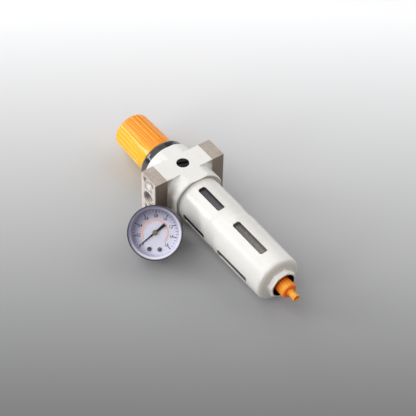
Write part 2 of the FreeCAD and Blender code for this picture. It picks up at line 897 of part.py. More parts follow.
def knob():
    edge = knob_top - knob_edge
    edge_radius = knob_radius(edge)
    ceiling_radius = knob_radius(knob_ceiling) - knob_wall
    foot_bore = knob_base_radius - knob_wall
    cap = turned([
        (foot_bore, knob_base),
        (knob_base_radius - 0.4, knob_base),
        (knob_base_radius, knob_base + 0.4),
        (edge_radius, edge),
        (*corner(edge_radius - knob_edge, edge, knob_edge, 1, 1), edge_radius - knob_edge, knob_top),
        (0, knob_top),
        (0, knob_hub_level),
        (knob_hub_radius, knob_hub_level),
        (knob_hub_radius, knob_ceiling),
        (ceiling_radius, knob_ceiling),
    ])
    start = knob_base + knob_skirt
    start_radius = knob_radius(start) + knob_groove_radius
    end_radius = knob_radius(knob_top) + knob_groove_radius - knob_groove_depth
    foot = point(0, start, axis_z + start_radius)
    head = point(0, knob_top + 1, axis_z + end_radius)
    run_out = start + knob_run_out
    bend_radius = knob_radius(run_out) + knob_groove_radius - knob_groove_depth
    bend = point(0, run_out, axis_z + bend_radius)
    lower = Part.makeCylinder(knob_groove_radius, (bend - foot).Length, foot, bend - foot)
    upper = Part.makeCylinder(knob_groove_radius, (head - bend).Length, bend, head - bend)
    joint = Part.makeSphere(knob_groove_radius, bend)
    groove = lower.fuse([joint, upper])
    tools = []
    for number in range(knob_ribs):
        tools.append(swung(groove, knob_rib_phase + 360.0 / knob_ribs * number))
    socket = prism_y(spindle_hex_flats + 2 * slide_gap, 6, knob_hub_level, knob_ceiling)
    return cap.cut(tools).cut(socket)


def drain_knob():
    recess = bowl_boss_end - 0.3
    barrel = turned([
        (bowl_boss_radius + slide_gap, drain_knob_top),
        (drain_knob_radius - 0.5, drain_knob_top),
        (drain_knob_radius, drain_knob_top - 0.5),
        (drain_knob_radius, drain_knob_end + 0.9),
        (drain_knob_radius - 0.9, drain_knob_end),
        (drain_stem_radius + slide_gap, drain_knob_end),
        (drain_stem_radius + slide_gap, recess),
        (bowl_boss_radius + slide_gap, recess),
    ])
    tools = []
    for number in range(drain_flutes):
        place = drain_knob_radius + drain_flute_radius * 0.45
        flute = rod_y(drain_flute_radius, drain_knob_end - 1, drain_knob_top - 1.6, 0, axis_z + place)
        tools.append(swung(flute, 360.0 / drain_flutes * number))
    return barrel.cut(tools)


def drain_stem():
    head_foot = drain_floor + drain_seal_height
    head_top = head_foot + drain_head_height
    barb = nipple_end + nipple_length
    stem = turned([
        (0, nipple_end),
        (drain_stem_radius - 0.3, nipple_end),
        (drain_stem_radius, nipple_end + 0.3),
        (drain_stem_radius, barb),
        (drain_neck_radius, barb + 0.4),
        (drain_neck_radius, drain_knob_end - valve_lift),
        (drain_stem_radius, drain_knob_end - valve_lift + 0.4),
        (drain_stem_radius, head_foot),
        (drain_head_radius, head_foot),
        (drain_head_radius, head_top - 0.5),
        (drain_head_radius - 0.5, head_top),
        (0, head_top),
    ])
    inlet_level = drain_floor - drain_inlet_radius - 0.2
    bore = rod_y(drain_bore, nipple_end, drain_floor)
    inlet = rod_x(drain_inlet_radius, -drain_stem_radius, drain_stem_radius, inlet_level)
    return stem.cut(bore.fuse(inlet))


def drain_seal():
    ring = rod_y(drain_head_radius, drain_floor + 0.01, drain_floor + drain_seal_height)
    return ring.cut(rod_y(drain_stem_radius, drain_floor + 0.01, drain_floor + drain_seal_height))


# How far the lying gauge leans, from the line that touches its stem and the back of its case
def gauge_lean():
    along = gauge_back + gauge_back_rounding - gauge_stem_chamfer
    out = gauge_case_radius - gauge_back_rounding - gauge_stem_thread
    return math.atan2(out, along) + math.asin(gauge_back_rounding / math.hypot(along, out))


def gauge_laid(shape):
    lean = gauge_lean()
    height = gauge_stem_thread * math.cos(lean) - gauge_stem_chamfer * math.sin(lean)
    laid = shape.copy()
    laid.rotate(point(0, 0, 0), point(1, 0, 0), 90 - math.degrees(lean))
    laid.rotate(point(0, 0, 0), point(0, 0, 1), gauge_turn)
    laid.translate(point(gauge_stand_x, gauge_stand_y, height))
    return laid


def gauge_stem():
    low = gauge_back + gauge_case_wall + seat_gap
    thread = spun([
        (0.8, 0),
        (gauge_stem_thread - gauge_stem_chamfer, 0),
        (gauge_stem_thread, gauge_stem_chamfer),
        (gauge_stem_thread, gauge_stem_thread_length),
        (gauge_stem_thread, low + 1.0),
        (0.8, low + 1.0),
    ])
    hexagon = prism(gauge_hex_flats, 6, gauge_stem_thread_length, gauge_back - seat_gap)
    ends = [edge for edge in hexagon.Edges if edge.BoundBox.ZLength < 0.01]
    hexagon = hexagon.makeChamfer(0.5, ends)
    half = stem_block / 2
    block = box(-half, half, -half, half, low, movement_level)
    arm_foot = low + tube_lift - tube_clamp / 2
    arm = box(-stem_arm_half, stem_arm_half, -tube_radius - tube_half_thickness, 0,
              arm_foot, arm_foot + 2 * tube_half_height + tube_clamp)
    drill = rod_z(0.8, 0, gauge_back)
    return thread.fuse([hexagon, block, arm]).cut(drill)


def gauge_case():
    inner = gauge_case_radius - gauge_case_wall
    lip_foot = gauge_front - gauge_lip_length
    shoulder = gauge_front - gauge_lens_thickness - 0.2
    dial_seat = gauge_dial_radius - 0.8
    rounding = gauge_back_rounding
    return spun([
        (gauge_stem_thread + seat_gap, gauge_back),
        (gauge_case_radius - rounding, gauge_back),
        (*corner(gauge_case_radius - rounding, gauge_back + rounding, rounding, 1, -1),
         gauge_case_radius, gauge_back + rounding),
        (gauge_case_radius, lip_foot),
        (gauge_lip_radius, lip_foot + 0.5),
        (gauge_lip_radius, gauge_front - 0.4),
        (gauge_lip_radius - 0.4, gauge_front),
        (gauge_lens_radius + seat_gap, gauge_front),
        (gauge_lens_radius + seat_gap, shoulder),
        (gauge_dial_radius + seat_gap, shoulder),
        (gauge_dial_radius + seat_gap, dial_back),
        (dial_seat, dial_back),
        (dial_seat, dial_back - 1.2),
        (inner, dial_back - 2.4),
        (inner, gauge_back + gauge_case_wall),
        (gauge_stem_thread + seat_gap, gauge_back + gauge_case_wall),
    ])


def gauge_lens():
    foot = gauge_front - gauge_lens_thickness
    window = gauge_lens_radius - gauge_lens_rim
    pane_foot = foot + gauge_lens_sink / 2
    pane_top = gauge_front - gauge_lens_sink
    return spun([
        (0, pane_foot),
        (window - gauge_lens_sink, pane_foot),
        (window, foot),
        (gauge_lens_radius, foot),
        (gauge_lens_radius, gauge_front - 0.3),
        (gauge_lens_radius - 0.3, gauge_front),
        (window, gauge_front),
        (window - gauge_lens_sink / 2, pane_top),
        (0, pane_top),
    ])


def gauge_dial():
    disc = rod_z(gauge_dial_radius, dial_back, dial_front)
    holes = [rod_z(1.4, dial_back, dial_front)]
    for side in (-1, 1):
        x = side * dial_screw_x
        holes.append(rod_z(dial_screw_shank + 0.1, dial_back, dial_front, x, dial_screw_y))
    return disc.cut(holes[0].fuse(holes[1:]))


def dial_ring():
    top = gauge_front - gauge_lens_thickness - 0.25
    inner = gauge_dial_radius - gauge_ring_wall
    return spun([
        (inner, dial_front),
        (gauge_dial_radius - 0.05, dial_front),
        (gauge_dial_radius - 0.05, top),
        (inner + 0.2, top),
    ])


def dial_screws():
    screws = []
    for side in (-1, 1):
        x = side * dial_screw_x
        head = rod_z(dial_screw_head, dial_front, dial_front + 0.8, x, dial_screw_y)
        shank = rod_z(dial_screw_shank, movement_top, dial_front, x, dial_screw_y)
        slot = box(x - dial_screw_head, x + dial_screw_head, dial_screw_y - 0.2, dial_screw_y + 0.2,
                   dial_front + 0.4, dial_front + 0.8)
        screws.append(head.fuse(shank).cut(slot))
    return screws


# The needle at zero; the dial's angles run anticlockwise from the right-hand side
def needle():
    level = dial_front + needle_height
    bore = arbor_radius + thread_gap
    blade = Part.Face(Part.makePolygon([
        point(needle_tip, needle_point_half_width, level),
        point(0, needle_half_width, level),
        point(-needle_tail, needle_tail_half_width, level),
        point(-needle_tail, -needle_tail_half_width, level),
        point(0, -needle_half_width, level),
        point(needle_tip, -needle_point_half_width, level),
        point(needle_tip, needle_point_half_width, level),
    ])).extrude(point(0, 0, needle_thickness))
    return tilted_z(blade, needle_zero).cut(rod_z(bore, level, level + needle_thickness))


def needle_hub():
    level = dial_front + needle_height + needle_thickness
    top = level + needle_hub_height
    cap = rod_z(needle_hub_radius, level, top)
    rim = [edge for edge in cap.Edges if edge.BoundBox.ZMin > (level + top) / 2]
    socket = rod_z(arbor_radius + thread_gap, level, level + needle_hub_height / 2)
    return cap.makeChamfer(needle_hub_chamfer, rim).cut(socket)


# Straight-flanked gear teeth; the first tooth's middle points along +X
def gear_teeth(teeth, first, count, width, low):
    radius = gear_module * teeth / 2
    root = radius - 1.15 * gear_module
    tip = radius + 0.75 * gear_module
    pitch = 2 * math.pi / teeth
    corners = []
    for number in range(first, first + count):
        middle = pitch * number
        for share, reach in ((-0.27, root), (-0.10, tip), (0.10, tip), (0.27, root)):
            angle = middle + share * pitch
            corners.append(point(reach * math.cos(angle), reach * math.sin(angle), low))
    if count < teeth:
        corners.append(point(0, 0, low))
    corners.append(corners[0])
    return Part.Face(Part.makePolygon(corners)).extrude(point(0, 0, width))


def pinion():
    low = gear_level - gear_width / 2
    first_turn = 270 + 180.0 / pinion_teeth
    teeth = tilted_z(gear_teeth(pinion_teeth, 0, pinion_teeth, gear_width, low), first_turn)
    tip = dial_front + needle_height + needle_thickness
    arbor = rod_z(arbor_radius, movement_level + 0.2, tip)
    return teeth.fuse(arbor)


def sector():
    low = gear_level - gear_width / 2
    first_tooth = -(sector_travel_teeth + sector_spare_teeth)
    tooth_count = sector_travel_teeth + 1 + 2 * sector_spare_teeth
    teeth = gear_teeth(wheel_teeth, first_tooth, tooth_count, gear_width, low)
    inner = wheel_radius - 3.0
    span_pitch = 360.0 / wheel_teeth
    middle = span_pitch * (first_tooth + (tooth_count - 1) / 2)
    window = rod_z(inner, low, low + gear_width).cut(rod_z(3.0, low, low + gear_width))
    arm = tilted_z(box(0, inner + 0.5, -1.6, 1.6, low, low + gear_width), middle)
    keep = arm.fuse(rod_z(2.2, low, low + gear_width))
    web = teeth.cut(window.cut(keep)).fuse(rod_z(2.2, low, low + gear_width))
    staff = rod_z(0.6, movement_level + 0.2, movement_top + movement_plate - 0.1)
    wheel = tilted_z(web.fuse(staff), 90)
    wheel.translate(point(0, sector_pivot, 0))
    return wheel


def movement():
    plates = []
    for level in (movement_level, movement_top):
        plate = box(-movement_half_width, movement_half_width, movement_low, movement_high,
                    level, level + movement_plate)
        upright = [edge for edge in plate.Edges if edge.BoundBox.ZLength > movement_plate / 2]
        plates.append(plate.makeFillet(1.5, upright))
    for x in (-movement_half_width + 1.6, movement_half_width - 1.6):
        for y in (movement_low + 1.6, movement_high - 1.6):
            plates.append(rod_z(pillar_radius, movement_level, movement_top, x, y))
    holes = [rod_z(arbor_radius + 0.05, movement_level, movement_top + movement_plate)]
    holes.append(rod_z(0.65, movement_level, movement_top + movement_plate, 0, sector_pivot))
    for side in (-1, 1):
        holes.append(rod_z(dial_screw_shank, movement_top, movement_top + movement_plate,
                           side * dial_screw_x, dial_screw_y))
    return plates[0].fuse(plates[1:]).cut(holes[0].fuse(holes[1:]))


def pressure_tube():
    low = gauge_back + gauge_case_wall + seat_gap + tube_lift
    high = low + 2 * tube_half_height
    centre = (low + high) / 2
    thick = tube_half_thickness
    flat = tube_half_height - thick
    section = outline_face([
        (tube_radius - thick, centre - flat),
        (tube_radius, centre - flat - thick, tube_radius + thick, centre - flat),
        (tube_radius + thick, centre + flat),
        (tube_radius, centre + flat + thick, tube_radius - thick, centre + flat),
    ], lambda radius, z: point(radius, 0, z))
    tube = section.revolve(point(0, 0, 0), point(0, 0, 1), tube_angle)
    arm_side = stem_arm_half
    arm = box(-arm_side, arm_side, -tube_radius - 2 * thick, 0, low - tube_clamp, high + tube_clamp)
    return tilted_z(tube, tube_start).cut(arm)


plate_right = right_plate()
screws_right = right_screws()
ring_right = right_plate_ring()

unit = {
    "housing": [housing()],
    "left_plate": [mirrored_x(plate_right)],
    "right_plate": [plate_right],
    "plate_screws": screws_right + [mirrored_x(screw) for screw in screws_right],
    "plate_o_rings": [ring_right, mirrored_x(ring_right)],
    "front_plug": [front_plug()],
    "front_plug_o_ring": [front_plug_ring()],
    "bonnet": [bonnet()],
    "ring_nut": [ring_nut()],
    "knob": [knob()],
    "spindle": [spindle()],
    "thrust_washer": [thrust_washer()],
    "spring_plate": [spring_plate()],
    "range_spring": [range_spring()],
    "diaphragm": [diaphragm()],
    "diaphragm_disc": [diaphragm_disc()],
    "relief_disc": [relief_disc()],
    "valve": [valve()],
    "valve_seal": [valve_seal()],
    "valve_spring": [valve_spring()],
    "filter_holder": [filter_holder()],
    "deflector": [deflector()],
    "filter_element": [filter_element()],
    "baffle": [baffle()],
    "bowl": [bowl()],
    "bowl_o_ring": [bowl_ring()],
    "bowl_guard": [guard()],
    "drain_knob": [drain_knob()],
    "drain_stem": [drain_stem()],
    "drain_seal": [drain_seal()],
}

gauge = {
    "gauge_stem": [gauge_stem()],
    "gauge_case": [gauge_case()],
    "gauge_lens": [gauge_lens()],
    "gauge_dial": [gauge_dial()],
    "gauge_dial_ring": [dial_ring()],
    "gauge_dial_screws": dial_screws(),
    "gauge_needle": [needle()],
    "gauge_needle_hub": [needle_hub()],
    "gauge_pinion": [pinion()],
    "gauge_sector": [sector()],
    "gauge_movement": [movement()],
    "gauge_pressure_tube": [pressure_tube()],
}

os.makedirs("parts", exist_ok=True)
nodes = dict(unit)
for name, solids in gauge.items():
    nodes[name] = [gauge_laid(solid) for solid in solids]
for name, solids in nodes.items():
    shape = solids[0] if len(solids) == 1 else Part.makeCompound(solids)
    shape.exportStep("parts/" + name + ".step")
    corners = shape.BoundBox
    print(f"{name:20} solids {len(shape.Solids)} valid {shape.isValid()} volume {shape.Volume:9.1f}"
          f" y {corners.YMin:7.1f} {corners.YMax:7.1f} z {corners.ZMin:6.1f} {corners.ZMax:6.1f}")
print(f"gauge leans {math.degrees(gauge_lean()):.2f} degrees")
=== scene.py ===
import json
import math
import bpy
from mathutils import Matrix, Vector

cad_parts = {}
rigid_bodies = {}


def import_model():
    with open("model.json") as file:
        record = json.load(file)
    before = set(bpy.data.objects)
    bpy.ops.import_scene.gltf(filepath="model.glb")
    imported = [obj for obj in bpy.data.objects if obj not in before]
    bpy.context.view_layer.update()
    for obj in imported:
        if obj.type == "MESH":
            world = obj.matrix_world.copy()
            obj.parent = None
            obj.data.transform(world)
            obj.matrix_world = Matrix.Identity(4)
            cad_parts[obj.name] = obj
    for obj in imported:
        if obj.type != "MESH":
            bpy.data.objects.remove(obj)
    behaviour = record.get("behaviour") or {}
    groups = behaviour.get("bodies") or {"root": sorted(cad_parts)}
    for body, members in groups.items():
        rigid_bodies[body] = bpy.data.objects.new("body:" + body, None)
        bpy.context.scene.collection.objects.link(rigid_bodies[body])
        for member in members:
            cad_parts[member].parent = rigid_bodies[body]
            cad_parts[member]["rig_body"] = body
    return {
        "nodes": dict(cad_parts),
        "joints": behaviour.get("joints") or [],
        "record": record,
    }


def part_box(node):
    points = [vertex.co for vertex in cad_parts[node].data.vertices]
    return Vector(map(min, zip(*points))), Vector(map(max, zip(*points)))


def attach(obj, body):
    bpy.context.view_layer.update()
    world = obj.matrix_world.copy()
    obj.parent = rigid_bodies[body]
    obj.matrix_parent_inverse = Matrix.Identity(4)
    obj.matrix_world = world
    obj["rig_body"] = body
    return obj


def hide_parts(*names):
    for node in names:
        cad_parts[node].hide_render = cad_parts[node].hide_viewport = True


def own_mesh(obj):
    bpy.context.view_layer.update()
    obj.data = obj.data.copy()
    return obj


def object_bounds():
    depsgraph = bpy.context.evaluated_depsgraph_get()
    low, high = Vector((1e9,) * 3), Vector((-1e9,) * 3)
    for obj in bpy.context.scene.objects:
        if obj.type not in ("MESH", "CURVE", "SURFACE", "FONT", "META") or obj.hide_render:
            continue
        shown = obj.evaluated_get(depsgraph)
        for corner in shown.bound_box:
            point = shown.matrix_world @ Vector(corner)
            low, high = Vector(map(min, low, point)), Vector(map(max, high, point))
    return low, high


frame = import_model()
cadLow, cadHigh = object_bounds()
nodes = frame["nodes"]
mm = 0.001
axisHeight = (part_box("bonnet")[0].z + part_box("bonnet")[1].z) / 2
print("frame loaded with", len(nodes), "nodes")


# Screen values from 0 to 255 as a linear colour
def screenColour(red, green, blue):
    def linear(value):
        share = value / 255
        return share / 12.92 if share <= 0.04045 else ((share + 0.055) / 1.055) ** 2.4
    return (linear(red), linear(green), linear(blue), 1.0)


def deselectAll():
    if bpy.context.object and bpy.context.object.mode != "OBJECT":
        bpy.ops.object.mode_set(mode="OBJECT")
    bpy.ops.object.select_all(action="DESELECT")


def pick(piece):
    deselectAll()
    piece.select_set(True)
    bpy.context.view_layer.objects.active = piece


# Shared effects: each is a node group that puts out colours, masks, values or heights
def newGroup(name, inputs, outputs):
    tree = bpy.data.node_groups.new(name, "ShaderNodeTree")
    for socketName, kind, value in inputs:
        socket = tree.interface.new_socket(socketName, in_out="INPUT", socket_type=kind)
        if value is not None:
            socket.default_value = value
    for socketName, kind in outputs:
        tree.interface.new_socket(socketName, in_out="OUTPUT", socket_type=kind)
    return tree, tree.nodes.new("NodeGroupInput"), tree.nodes.new("NodeGroupOutput")


def mathNode(tree, operation, first, second):
    node = tree.nodes.new("ShaderNodeMath")
    node.operation = operation
    for slotIndex, value in enumerate((first, second)):
        if isinstance(value, (int, float)):
            node.inputs[slotIndex].default_value = value
        else:
            tree.links.new(value, node.inputs[slotIndex])
    return node.outputs[0]


def noiseNode(tree, vector, scale, detail, roughness):
    node = tree.nodes.new("ShaderNodeTexNoise")
    node.inputs["Detail"].default_value = detail
    node.inputs["Roughness"].default_value = roughness
    tree.links.new(vector, node.inputs["Vector"])
    tree.links.new(scale, node.inputs["Scale"])
    return node.outputs["Fac"]


def rangeNode(tree, value, fromLow, fromHigh, toLow, toHigh):
    node = tree.nodes.new("ShaderNodeMapRange")
    for socketName, entry in (("Value", value), ("From Min", fromLow), ("From Max", fromHigh),
                              ("To Min", toLow), ("To Max", toHigh)):
        if isinstance(entry, (int, float)):
            node.inputs[socketName].default_value = entry
        else:
            tree.links.new(entry, node.inputs[socketName])
    return node.outputs["Result"]


def mixColour(tree, share, first, second):
    node = tree.nodes.new("ShaderNodeMix")
    node.data_type = "RGBA"
    for socketIndex, entry in ((0, share), (6, first), (7, second)):
        if isinstance(entry, (int, float, tuple)):
            node.inputs[socketIndex].default_value = entry
        else:
            tree.links.new(entry, node.inputs[socketIndex])
    return node.outputs[2]


# Grain that runs from smooth to rough in patches, with fine bumps
grainShape = {"patchShare": 0.06, "broadDetail": 4.0, "fineDetail": 2.0, "roughness": 0.55,
              "broadWeight": 0.6, "fineWeight": 0.4, "low": 0.35, "high": 0.65}


def buildFineGrain():
    tree, groupIn, groupOut = newGroup(
        "fineGrain",
        [("Vector", "NodeSocketVector", None), ("Scale", "NodeSocketFloat", 1500.0),
         ("Smooth", "NodeSocketFloat", 0.3), ("Rough", "NodeSocketFloat", 0.45)],
        [("Roughness", "NodeSocketFloat"), ("Height", "NodeSocketFloat")])
    vector = groupIn.outputs["Vector"]
    scale = groupIn.outputs["Scale"]
    patches = mathNode(tree, "MULTIPLY", scale, grainShape["patchShare"])
    broad = noiseNode(tree, vector, patches, grainShape["broadDetail"], grainShape["roughness"])
    fine = noiseNode(tree, vector, scale, grainShape["fineDetail"], grainShape["roughness"])
    broadPart = mathNode(tree, "MULTIPLY", broad, grainShape["broadWeight"])
    finePart = mathNode(tree, "MULTIPLY", fine, grainShape["fineWeight"])
    blended = mathNode(tree, "ADD", broadPart, finePart)
    rough = rangeNode(tree, blended, grainShape["low"], grainShape["high"],
                      groupIn.outputs["Smooth"], groupIn.outputs["Rough"])
    tree.links.new(rough, groupOut.inputs["Roughness"])
    tree.links.new(fine, groupOut.inputs["Height"])
    return tree


# Two tones that drift into each other in clouds
driftShape = {"detail": 5.0, "roughness": 0.6, "low": 0.38, "high": 0.68}


def buildToneDrift():
    tree, groupIn, groupOut = newGroup(
        "toneDrift",
        [("Vector", "NodeSocketVector", None), ("Scale", "NodeSocketFloat", 60.0),
         ("Tone", "NodeSocketColor", (0.8, 0.8, 0.8, 1.0)),
         ("Second Tone", "NodeSocketColor", (0.7, 0.7, 0.7, 1.0))],
        [("Colour", "NodeSocketColor")])
    cloud = noiseNode(tree, groupIn.outputs["Vector"], groupIn.outputs["Scale"],
                      driftShape["detail"], driftShape["roughness"])
    mask = rangeNode(tree, cloud, driftShape["low"], driftShape["high"], 0.0, 1.0)
    colour = mixColour(tree, mask, groupIn.outputs["Tone"], groupIn.outputs["Second Tone"])
    tree.links.new(colour, groupOut.inputs["Colour"])
    return tree


# Fine parallel lines, as a brushing tool leaves them: noise on coordinates stretched along the lines
lineShape = {"detail": 3.0, "roughness": 0.7, "low": 0.52, "high": 0.72}


def buildToolLines():
    tree, groupIn, groupOut = newGroup(
        "toolLines",
        [("Vector", "NodeSocketVector", None), ("Scale", "NodeSocketFloat", 400.0),
         ("Stretch", "NodeSocketVector", (1.0, 1.0, 1.0))],
        [("Height", "NodeSocketFloat"), ("Mask", "NodeSocketFloat")])
    multiply = tree.nodes.new("ShaderNodeVectorMath")
    multiply.operation = "MULTIPLY"
    tree.links.new(groupIn.outputs["Vector"], multiply.inputs[0])
    tree.links.new(groupIn.outputs["Stretch"], multiply.inputs[1])
    lines = noiseNode(tree, multiply.outputs[0], groupIn.outputs["Scale"],
                      lineShape["detail"], lineShape["roughness"])
    mask = rangeNode(tree, lines, lineShape["low"], lineShape["high"], 0.0, 1.0)
    tree.links.new(lines, groupOut.inputs["Height"])
    tree.links.new(mask, groupOut.inputs["Mask"])
    return tree


# How far a normal or a place lies along a direction, on one side of zero and on either side
def buildFacing():
    tree, groupIn, groupOut = newGroup(
        "facing",
        [("Vector", "NodeSocketVector", None), ("Direction", "NodeSocketVector", (1.0, 0.0, 0.0)),
         ("Low", "NodeSocketFloat", 0.0), ("High", "NodeSocketFloat", 1.0)],
        [("One Side", "NodeSocketFloat"), ("Either Side", "NodeSocketFloat")])
    product = tree.nodes.new("ShaderNodeVectorMath")
    product.operation = "DOT_PRODUCT"
    tree.links.new(groupIn.outputs["Vector"], product.inputs[0])
    tree.links.new(groupIn.outputs["Direction"], product.inputs[1])
    share = product.outputs["Value"]
    both = mathNode(tree, "ABSOLUTE", share, 0.0)
    limits = (groupIn.outputs["Low"], groupIn.outputs["High"], 0.0, 1.0)
    tree.links.new(rangeNode(tree, share, *limits), groupOut.inputs["One Side"])
    tree.links.new(rangeNode(tree, both, *limits), groupOut.inputs["Either Side"])
    return tree


# The amount inside a radius round a line, which may taper, between two levels along it, and zero elsewhere
def buildRoundZone():
    tree, groupIn, groupOut = newGroup(
        "roundZone",
        [("Vector", "NodeSocketVector", None), ("Centre", "NodeSocketVector", (0.0, 0.0, 0.0)),
         ("Axis", "NodeSocketVector", (0.0, 1.0, 0.0)), ("Radius", "NodeSocketFloat", 0.005),
         ("Taper", "NodeSocketFloat", 0.0), ("From", "NodeSocketFloat", -1.0), ("To", "NodeSocketFloat", 1.0),
         ("Edge", "NodeSocketFloat", 0.0001), ("Amount", "NodeSocketFloat", 1.0)],
        [("Mask", "NodeSocketFloat")])
    steps = {}
    for operation, first, second in (("SUBTRACT", "Vector", "Centre"), ("CROSS_PRODUCT", "SUBTRACT", "Axis"),
                                     ("DOT_PRODUCT", "SUBTRACT", "Axis"), ("LENGTH", "CROSS_PRODUCT", None)):
        step = tree.nodes.new("ShaderNodeVectorMath")
        step.operation = operation
        tree.links.new(steps.get(first, groupIn.outputs.get(first)), step.inputs[0])
        if second:
            tree.links.new(groupIn.outputs[second], step.inputs[1])
        steps[operation] = step.outputs["Value" if operation in ("DOT_PRODUCT", "LENGTH") else "Vector"]
    edge = groupIn.outputs["Edge"]
    narrowing = mathNode(tree, "MULTIPLY", steps["DOT_PRODUCT"], groupIn.outputs["Taper"])
    steps["LENGTH"] = mathNode(tree, "SUBTRACT", steps["LENGTH"], narrowing)
    mask = groupIn.outputs["Amount"]
    for value, name, inside, outside in (("LENGTH", "Radius", 1.0, 0.0), ("DOT_PRODUCT", "From", 0.0, 1.0),
                                         ("DOT_PRODUCT", "To", 1.0, 0.0)):
        limit = groupIn.outputs[name]
        share = rangeNode(tree, steps[value], limit, mathNode(tree, "ADD", limit, edge), inside, outside)
        mask = mathNode(tree, "MULTIPLY", mask, share)
    tree.links.new(mask, groupOut.inputs["Mask"])
    return tree


effects = {
    "grain": buildFineGrain(),
    "drift": buildToneDrift(),
    "lines": buildToolLines(),
    "facing": buildFacing(),
    "zone": buildRoundZone(),
}


def placeEffect(tree, name, vector, values):
    node = tree.nodes.new("ShaderNodeGroup")
    node.node_tree = effects[name]
    tree.links.new(vector, node.inputs["Vector"])
    for socketName, value in values.items():
        node.inputs[socketName].default_value = value
    return node


def addBump(tree, shader, heights):
    normal = None
    for height, distance in heights:
        bump = tree.nodes.new("ShaderNodeBump")
        bump.inputs["Strength"].default_value = 1.0
        bump.inputs["Distance"].default_value = distance
        tree.links.new(height, bump.inputs["Height"])
        if normal:
            tree.links.new(normal, bump.inputs["Normal"])
        normal = bump.outputs["Normal"]
    tree.links.new(normal, shader.inputs["Normal"])


# One finish: two drifting tones, grained roughness and bump, and where it has them tool lines,
# then painted light and shade: tones on the sides that face a way or lie on one side of the object, and tones
# in round zones
def makeFinish(name, look):
    material = bpy.data.materials.new(name)
    material.use_nodes = True
    tree = material.node_tree
    shader = tree.nodes["Principled BSDF"]
    coordinates = tree.nodes.new("ShaderNodeTexCoord")
    place = coordinates.outputs["Object"]
    normal = coordinates.outputs["Normal"]
    worldNormal = tree.nodes.new("ShaderNodeNewGeometry").outputs["Normal"]
    drift = placeEffect(tree, "drift", place, {
        "Scale": look["driftScale"], "Tone": look["tone"], "Second Tone": look["secondTone"]})
    grain = placeEffect(tree, "grain", place, {
        "Scale": look["grainScale"], "Smooth": look["smooth"], "Rough": look["rough"]})
    colour = drift.outputs["Colour"]
    heights = [(grain.outputs["Height"], look["grainDepth"])]
    if "lineStretch" in look:
        lines = placeEffect(tree, "lines", place, {
            "Scale": look["lineScale"], "Stretch": look["lineStretch"]})
        colour = mixColour(tree, lines.outputs["Mask"], colour, look["lineTone"])
        heights.append((lines.outputs["Height"], look["lineDepth"]))
    for side in look.get("sides", []):
        source = {"solid": normal, "world": worldNormal, "place": place}[side["of"]]
        mask = placeEffect(tree, "facing", source, {
            "Direction": side["direction"], "Low": side["low"], "High": side["high"]})
        colour = mixColour(tree, mask.outputs[side.get("reach", "One Side")], colour, side["tone"])
    for zone in look.get("zones", []):
        mask = placeEffect(tree, "zone", place, {
            "Centre": zone["centre"], "Axis": zone["axis"], "Radius": zone["radius"],
            "Taper": zone.get("taper", 0.0), "From": zone.get("from", -1.0), "To": zone.get("to", 1.0),
            "Edge": zone.get("edge", 0.0001), "Amount": zone.get("amount", 1.0)})
        colour = mixColour(tree, mask.outputs["Mask"], colour, zone["tone"])
    tree.links.new(colour, shader.inputs["Base Color"])
    tree.links.new(grain.outputs["Roughness"], shader.inputs["Roughness"])
    addBump(tree, shader, heights)
    for socketName, value in look.get("fixed", {}).items():
        shader.inputs[socketName].default_value = value
    return material


# The dial's own frame: its middle, with x to its right, y up and z out of its face
def findDialPlace():
    joint = next(entry for entry in frame["joints"] if entry["name"] == "needle_turn")
    out = -Vector(joint["axis"]).normalized()
    right = Vector((-out.y, out.x, 0.0)).normalized()
    up = out.cross(right)
    pivot = Vector(joint["pos_m"])
    front = max((vertex.co - pivot).dot(out) for vertex in nodes["gauge_dial"].data.vertices)
    middle = pivot + out * front
    return Matrix((
        (right.x, up.x, out.x, middle.x),
        (right.y, up.y, out.y, middle.y),
        (right.z, up.z, out.z, middle.z),
        (0.0, 0.0, 0.0, 1.0)))


dialPlace = findDialPlace()
dialOut = dialPlace.to_3x3() @ Vector((0.0, 0.0, 1.0))
dialUpLeft = dialPlace.to_3x3() @ Vector((-0.5, 0.866, 0.0))

